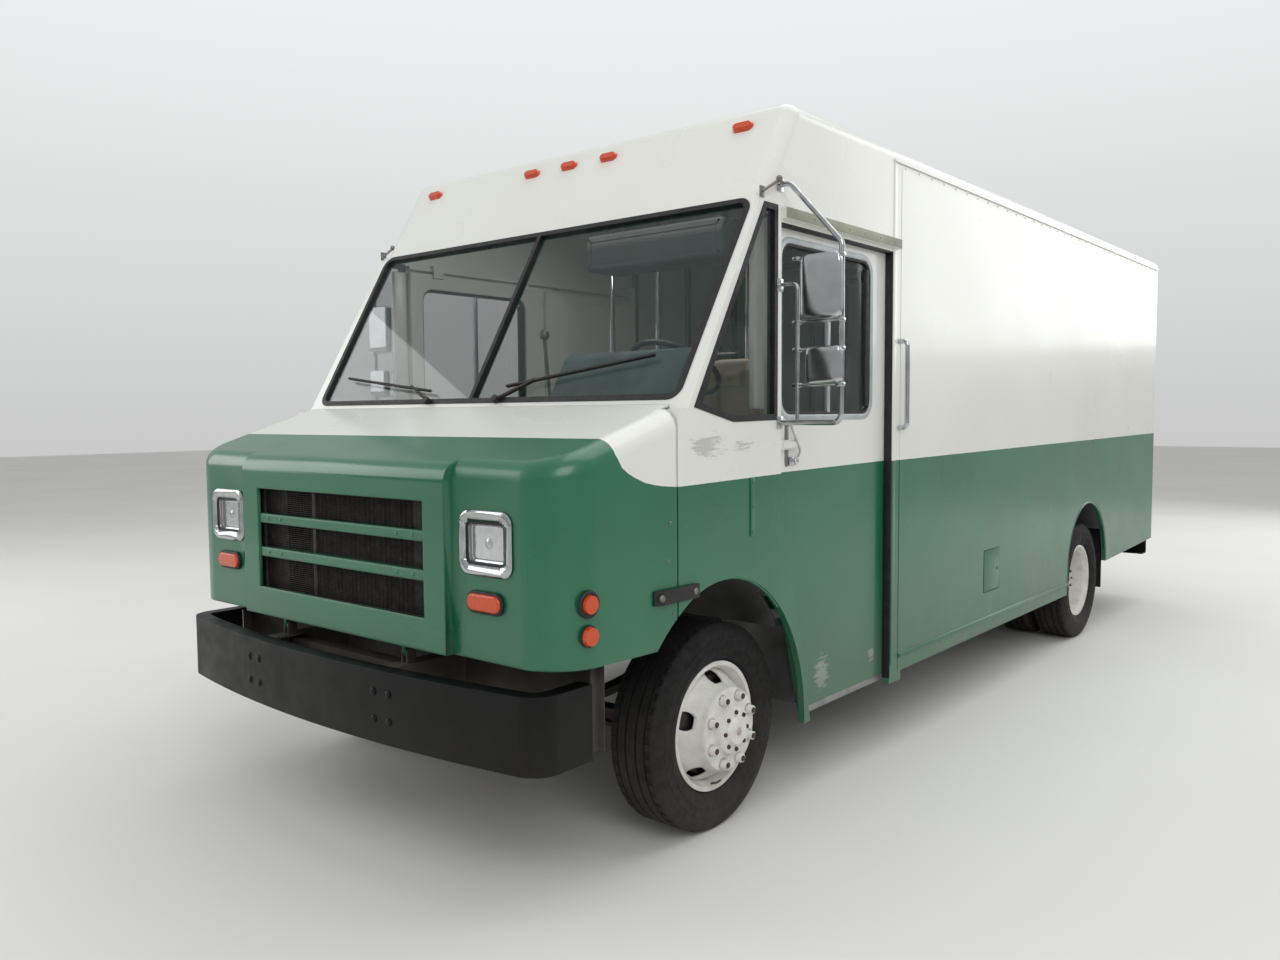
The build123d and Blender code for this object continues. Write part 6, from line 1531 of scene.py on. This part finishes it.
@dataclass
class Cab:
    """What the glass shows: padded driver's seat, overhead shelf, posts, poles, gear lever and pedals."""

    seat_x: Flat = (0.30, 0.78)
    seat_y: Flat = (0.605, 1.075)
    seat_z: Flat = (1.23, 1.34)
    back_lean: float = -10.0
    channel_reach: float = 0.105
    # Y and z of the back's foot
    back_foot: Flat = (1.045, 1.29)
    pressure: float = 4.0
    frames: int = 20
    cap: float = 0.022
    voxel: float = 0.012
    # Steps of a sewn channel: half width and depth
    channel: tuple[Flat, ...] = ((0.021, 0.0020), (0.014, 0.0025), (0.0065, 0.0025))
    pole_y: float = 1.42
    pole_x: Point = (0.30, -0.33, -0.69)
    pole_z: Flat = (0.806, 2.90)
    hanger_x: Flat = (0.40, 0.96)
    # Gear lever: x, y at its foot and at its knob, and z of foot, bend and knob
    lever_x: float = -0.11
    lever_y: Flat = (0.30, 0.26)
    lever_z: Point = (1.30, 1.70, 2.04)
    # Pedals: x and width
    pedals: tuple[Flat, ...] = ((0.43, 0.075), (0.66, 0.060))

    def build(self) -> None:
        """Furnish the cab."""
        self.seat()
        self.fittings()
        self.controls()

    def pad(self, name: str, low: Point, high: Point, lean: float, pivot: Point, lines: Sequence[float]) -> Object:
        """A stuffed cushion between two corners, crowned, with sewn channels, leaned about X at a pivot.

        Args:
            name: Name of the piece.
            low: Lowest corner before it leans.
            high: Highest corner.
            lean: Angle about X in degrees.
            pivot: Point that it leans about.
            lines: Places of the sewn channels along the pad's width.

        Returns:
            The cushion.
        """
        pad = block(name, low, high, 0.028, 4)
        with editing(pad):
            bpy.ops.mesh.subdivide(number_cuts=5)
        modify(pad, "REMESH", mode="VOXEL", voxel_size=self.voxel)
        self.swell(pad)
        for line in lines:
            self.stitch(pad, line)
        select_only(pad)
        bpy.ops.transform.rotate(value=radians(lean), orient_axis="X", center_override=pivot)
        modify(pad, "SUBSURF", levels=1, render_levels=1)
        return named(name)

    def swell(self, pad: Object) -> None:
        """Blow the pad up as a sewn cover over foam and keep each point near its start."""
        rest = [vertex.co.copy() for vertex in pad.data.vertices]
        select_only(pad)
        bpy.ops.object.modifier_add(type="CLOTH")
        cloth = pad.modifiers[-1]
        cloth.settings.use_pressure = True
        cloth.settings.uniform_pressure_force = self.pressure
        cloth.settings.effector_weights.gravity = 0.0
        cloth.settings.quality = 5
        cloth.point_cache.frame_end = self.frames
        for step in range(1, self.frames + 1):
            bpy.context.scene.frame_set(step)
        bpy.ops.object.modifier_apply(modifier=cloth.name)
        bpy.context.scene.frame_set(1)
        for vertex, start in zip(pad.data.vertices, rest):
            move = vertex.co - start
            if move.length > self.cap:
                vertex.co = start + move.normalized() * self.cap

    def stitch(self, pad: Object, line: float) -> None:
        """Sink a sewn channel across the pad at one place of its width, in narrowing steps."""
        for reach, sink in self.channel:
            with editing(pad, "VERT", Choice.NONE):
                pass
            for vertex in pad.data.vertices:
                vertex.select = abs(vertex.co.x - line) < reach
            with editing(pad, "VERT", Choice.KEPT):
                bpy.ops.transform.shrink_fatten(value=-sink)

    def seat(self) -> None:
        """Cushion, leaned back, shell and pedestal of the driver's seat."""
        (x0, x1), (y0, y1), (z0, z1) = self.seat_x, self.seat_y, self.seat_z
        mid_x = (x0 + x1) / 2
        lines = (mid_x - self.channel_reach, mid_x + self.channel_reach)
        low, high = at(x0 + 0.018, y0 + 0.018, z0 + 0.014), at(x1 - 0.018, y1 - 0.040, z1 - 0.014)
        cushion = self.pad("seat_cushion", low, high, 0, at(mid_x, y1, z0), lines)
        hand_over(cushion, "chassis", SEAT_VINYL, ("seat",), PAD_SMOOTH_ANGLE)
        foot = at(mid_x, *self.back_foot)
        low, high = (x0 + 0.018, foot[1] - 0.028, foot[2] + 0.055), (x1 - 0.018, foot[1] + 0.030, foot[2] + 0.685)
        back = self.pad("seat_back", low, high, self.back_lean, foot, lines)
        hand_over(back, "chassis", SEAT_VINYL, (), PAD_SMOOTH_ANGLE)
        base = [
            slab("pan", (x0 + 0.03, y0 + 0.03, z0 - 0.004), (x1 - 0.03, y1 - 0.02, z0 + 0.022), 0.006),
            slab("pedestal", (mid_x - 0.13, 0.70, 0.80), (mid_x + 0.13, 0.98, z0), 0.012),
            *(slab("runner", (x, 0.64, z0 - 0.030), (x + 0.03, 1.05, z0 - 0.004), 0.004)
              for x in (mid_x - 0.17, mid_x + 0.14)),
            block("bracket", (x0 + 0.05, foot[1] + 0.020, z0 + 0.01), (x1 - 0.05, foot[1] + 0.034, z0 + 0.14), 0.004),
        ]
        hand_over(joined("seat_base", *base), "chassis", CAB_PLASTIC)

    def fittings(self) -> None:
        """Overhead shelf with its hangers, posts behind the quarter windows and the poles behind the cab."""
        shelf = slab("overhead_shelf", (0.33, 0.085, 2.30), (1.07, 0.30, 2.46), 0.022, 4)
        pick_faces(shelf, lambda place, normal: normal.y < -0.9)
        with editing(shelf, choice=Choice.KEPT):
            bpy.ops.mesh.inset(thickness=0.018, depth=-0.004)
        hand_over(shelf, "chassis", SHELF_VINYL)
        hangers = [slab("hanger", (x, 0.245, 2.455), (x + 0.03, 0.272, 2.58)) for x in self.hanger_x]
        hand_over(joined("shelf_hangers", *hangers), "chassis", ZINC)
        post = slab("left_quarter_post", (1.148, 0.158, 1.69), (1.176, 0.232, 2.455), 0.005)
        both_sides(post, WHITE_PAINT)
        y, (low, high) = self.pole_y, self.pole_z
        poles = [rod("pole", at(x, y, low), at(x, y, high), 0.016, 20) for x in self.pole_x]
        section = pin(-0.001, 0.042, 0.004, 0.006, 0.036)
        flanges = [ring_on("flange", at(x, y, low - MM), UP, section, 28) for x in self.pole_x]
        hand_over(joined("cab_poles", *poles, *flanges), "chassis", STAINLESS)

    def controls(self) -> None:
        """Gear lever and pedals."""
        x, (foot_y, knob_y), (foot_z, bend_z, knob_z) = self.lever_x, self.lever_y, self.lever_z
        path = (at(x, foot_y, foot_z), at(x, foot_y, bend_z), at(x, knob_y, knob_z))
        section = (
            (-0.004, 0.0), (-0.004, 0.012), (0.006, 0.022), (0.022, 0.026), (0.038, 0.021), (0.046, 0.010),
            (0.048, 0.0),
        )
        stem = tube("stem", rounded(path, 0.10, 6), 0.009, 4)
        lever = joined("gear_lever", stem, ring_on("knob", path[-1], UP, section, 28))
        hand_over(lever, "chassis", ZINC)
        parts = []
        for x, wide in self.pedals:
            mid_x = x + wide / 2
            parts.append(slab("pedal", (x, -0.02, 0.93), (x + wide, 0.0, 1.03), 0.005))
            parts.append(rod("arm", at(mid_x, -0.01, 1.02), at(mid_x, -0.10, 1.36), 0.008, 12))
        hand_over(joined("pedals", *parts), "chassis", CAB_PLASTIC)


@dataclass
class CargoRoom:
    """Wall ribs and roof bows inside the load room."""

    inner_x: float = 1.190
    roof_z: float = 2.90
    start: float = 2.20
    step: float = 0.61
    count: int = 7
    # Feet of the ribs on the floor and on the wheel boxes, and how far those reach from the axle
    low_z: float = 0.86
    box_z: float = 1.06
    box_reach: float = 0.55

    def build(self) -> None:
        """Fit the ribs and bows."""
        x, ribs = self.inner_x, []
        for k in range(self.count):
            y = along(self.start + k * self.step)
            low = self.low_z if abs(y - REAR_AXLE_Y) > self.box_reach else self.box_z
            ribs.append(block("rib", (x - 0.028, y, low), (x + 0.002, y + 0.045, self.roof_z - 0.05), 0.005))
        both_sides(joined("left_wall_ribs", *ribs), ALUMINIUM)
        y = along(self.start)
        bow = block("bow", (-x, y, self.roof_z - 0.045), (x, y + 0.045, self.roof_z + 0.002), 0.006)
        hand_over(row("roof_bows", bow, (0, self.step, 0), self.count), "chassis", ALUMINIUM)


def main() -> None:
    """Dress the van piece by piece."""
    logging.basicConfig(level=logging.INFO, format="%(message)s")
    for part in (
        Stage(), Finishes(), Tyres(), WheelHardware(), BodyTrim(), SlidingDoors(), RearDoors(), Nose(), Mirrors(),
        Cab(), CargoRoom(),
    ):
        part.build()
        log.info("%s done", type(part).__name__)


if __name__ == "__main__":
    main()
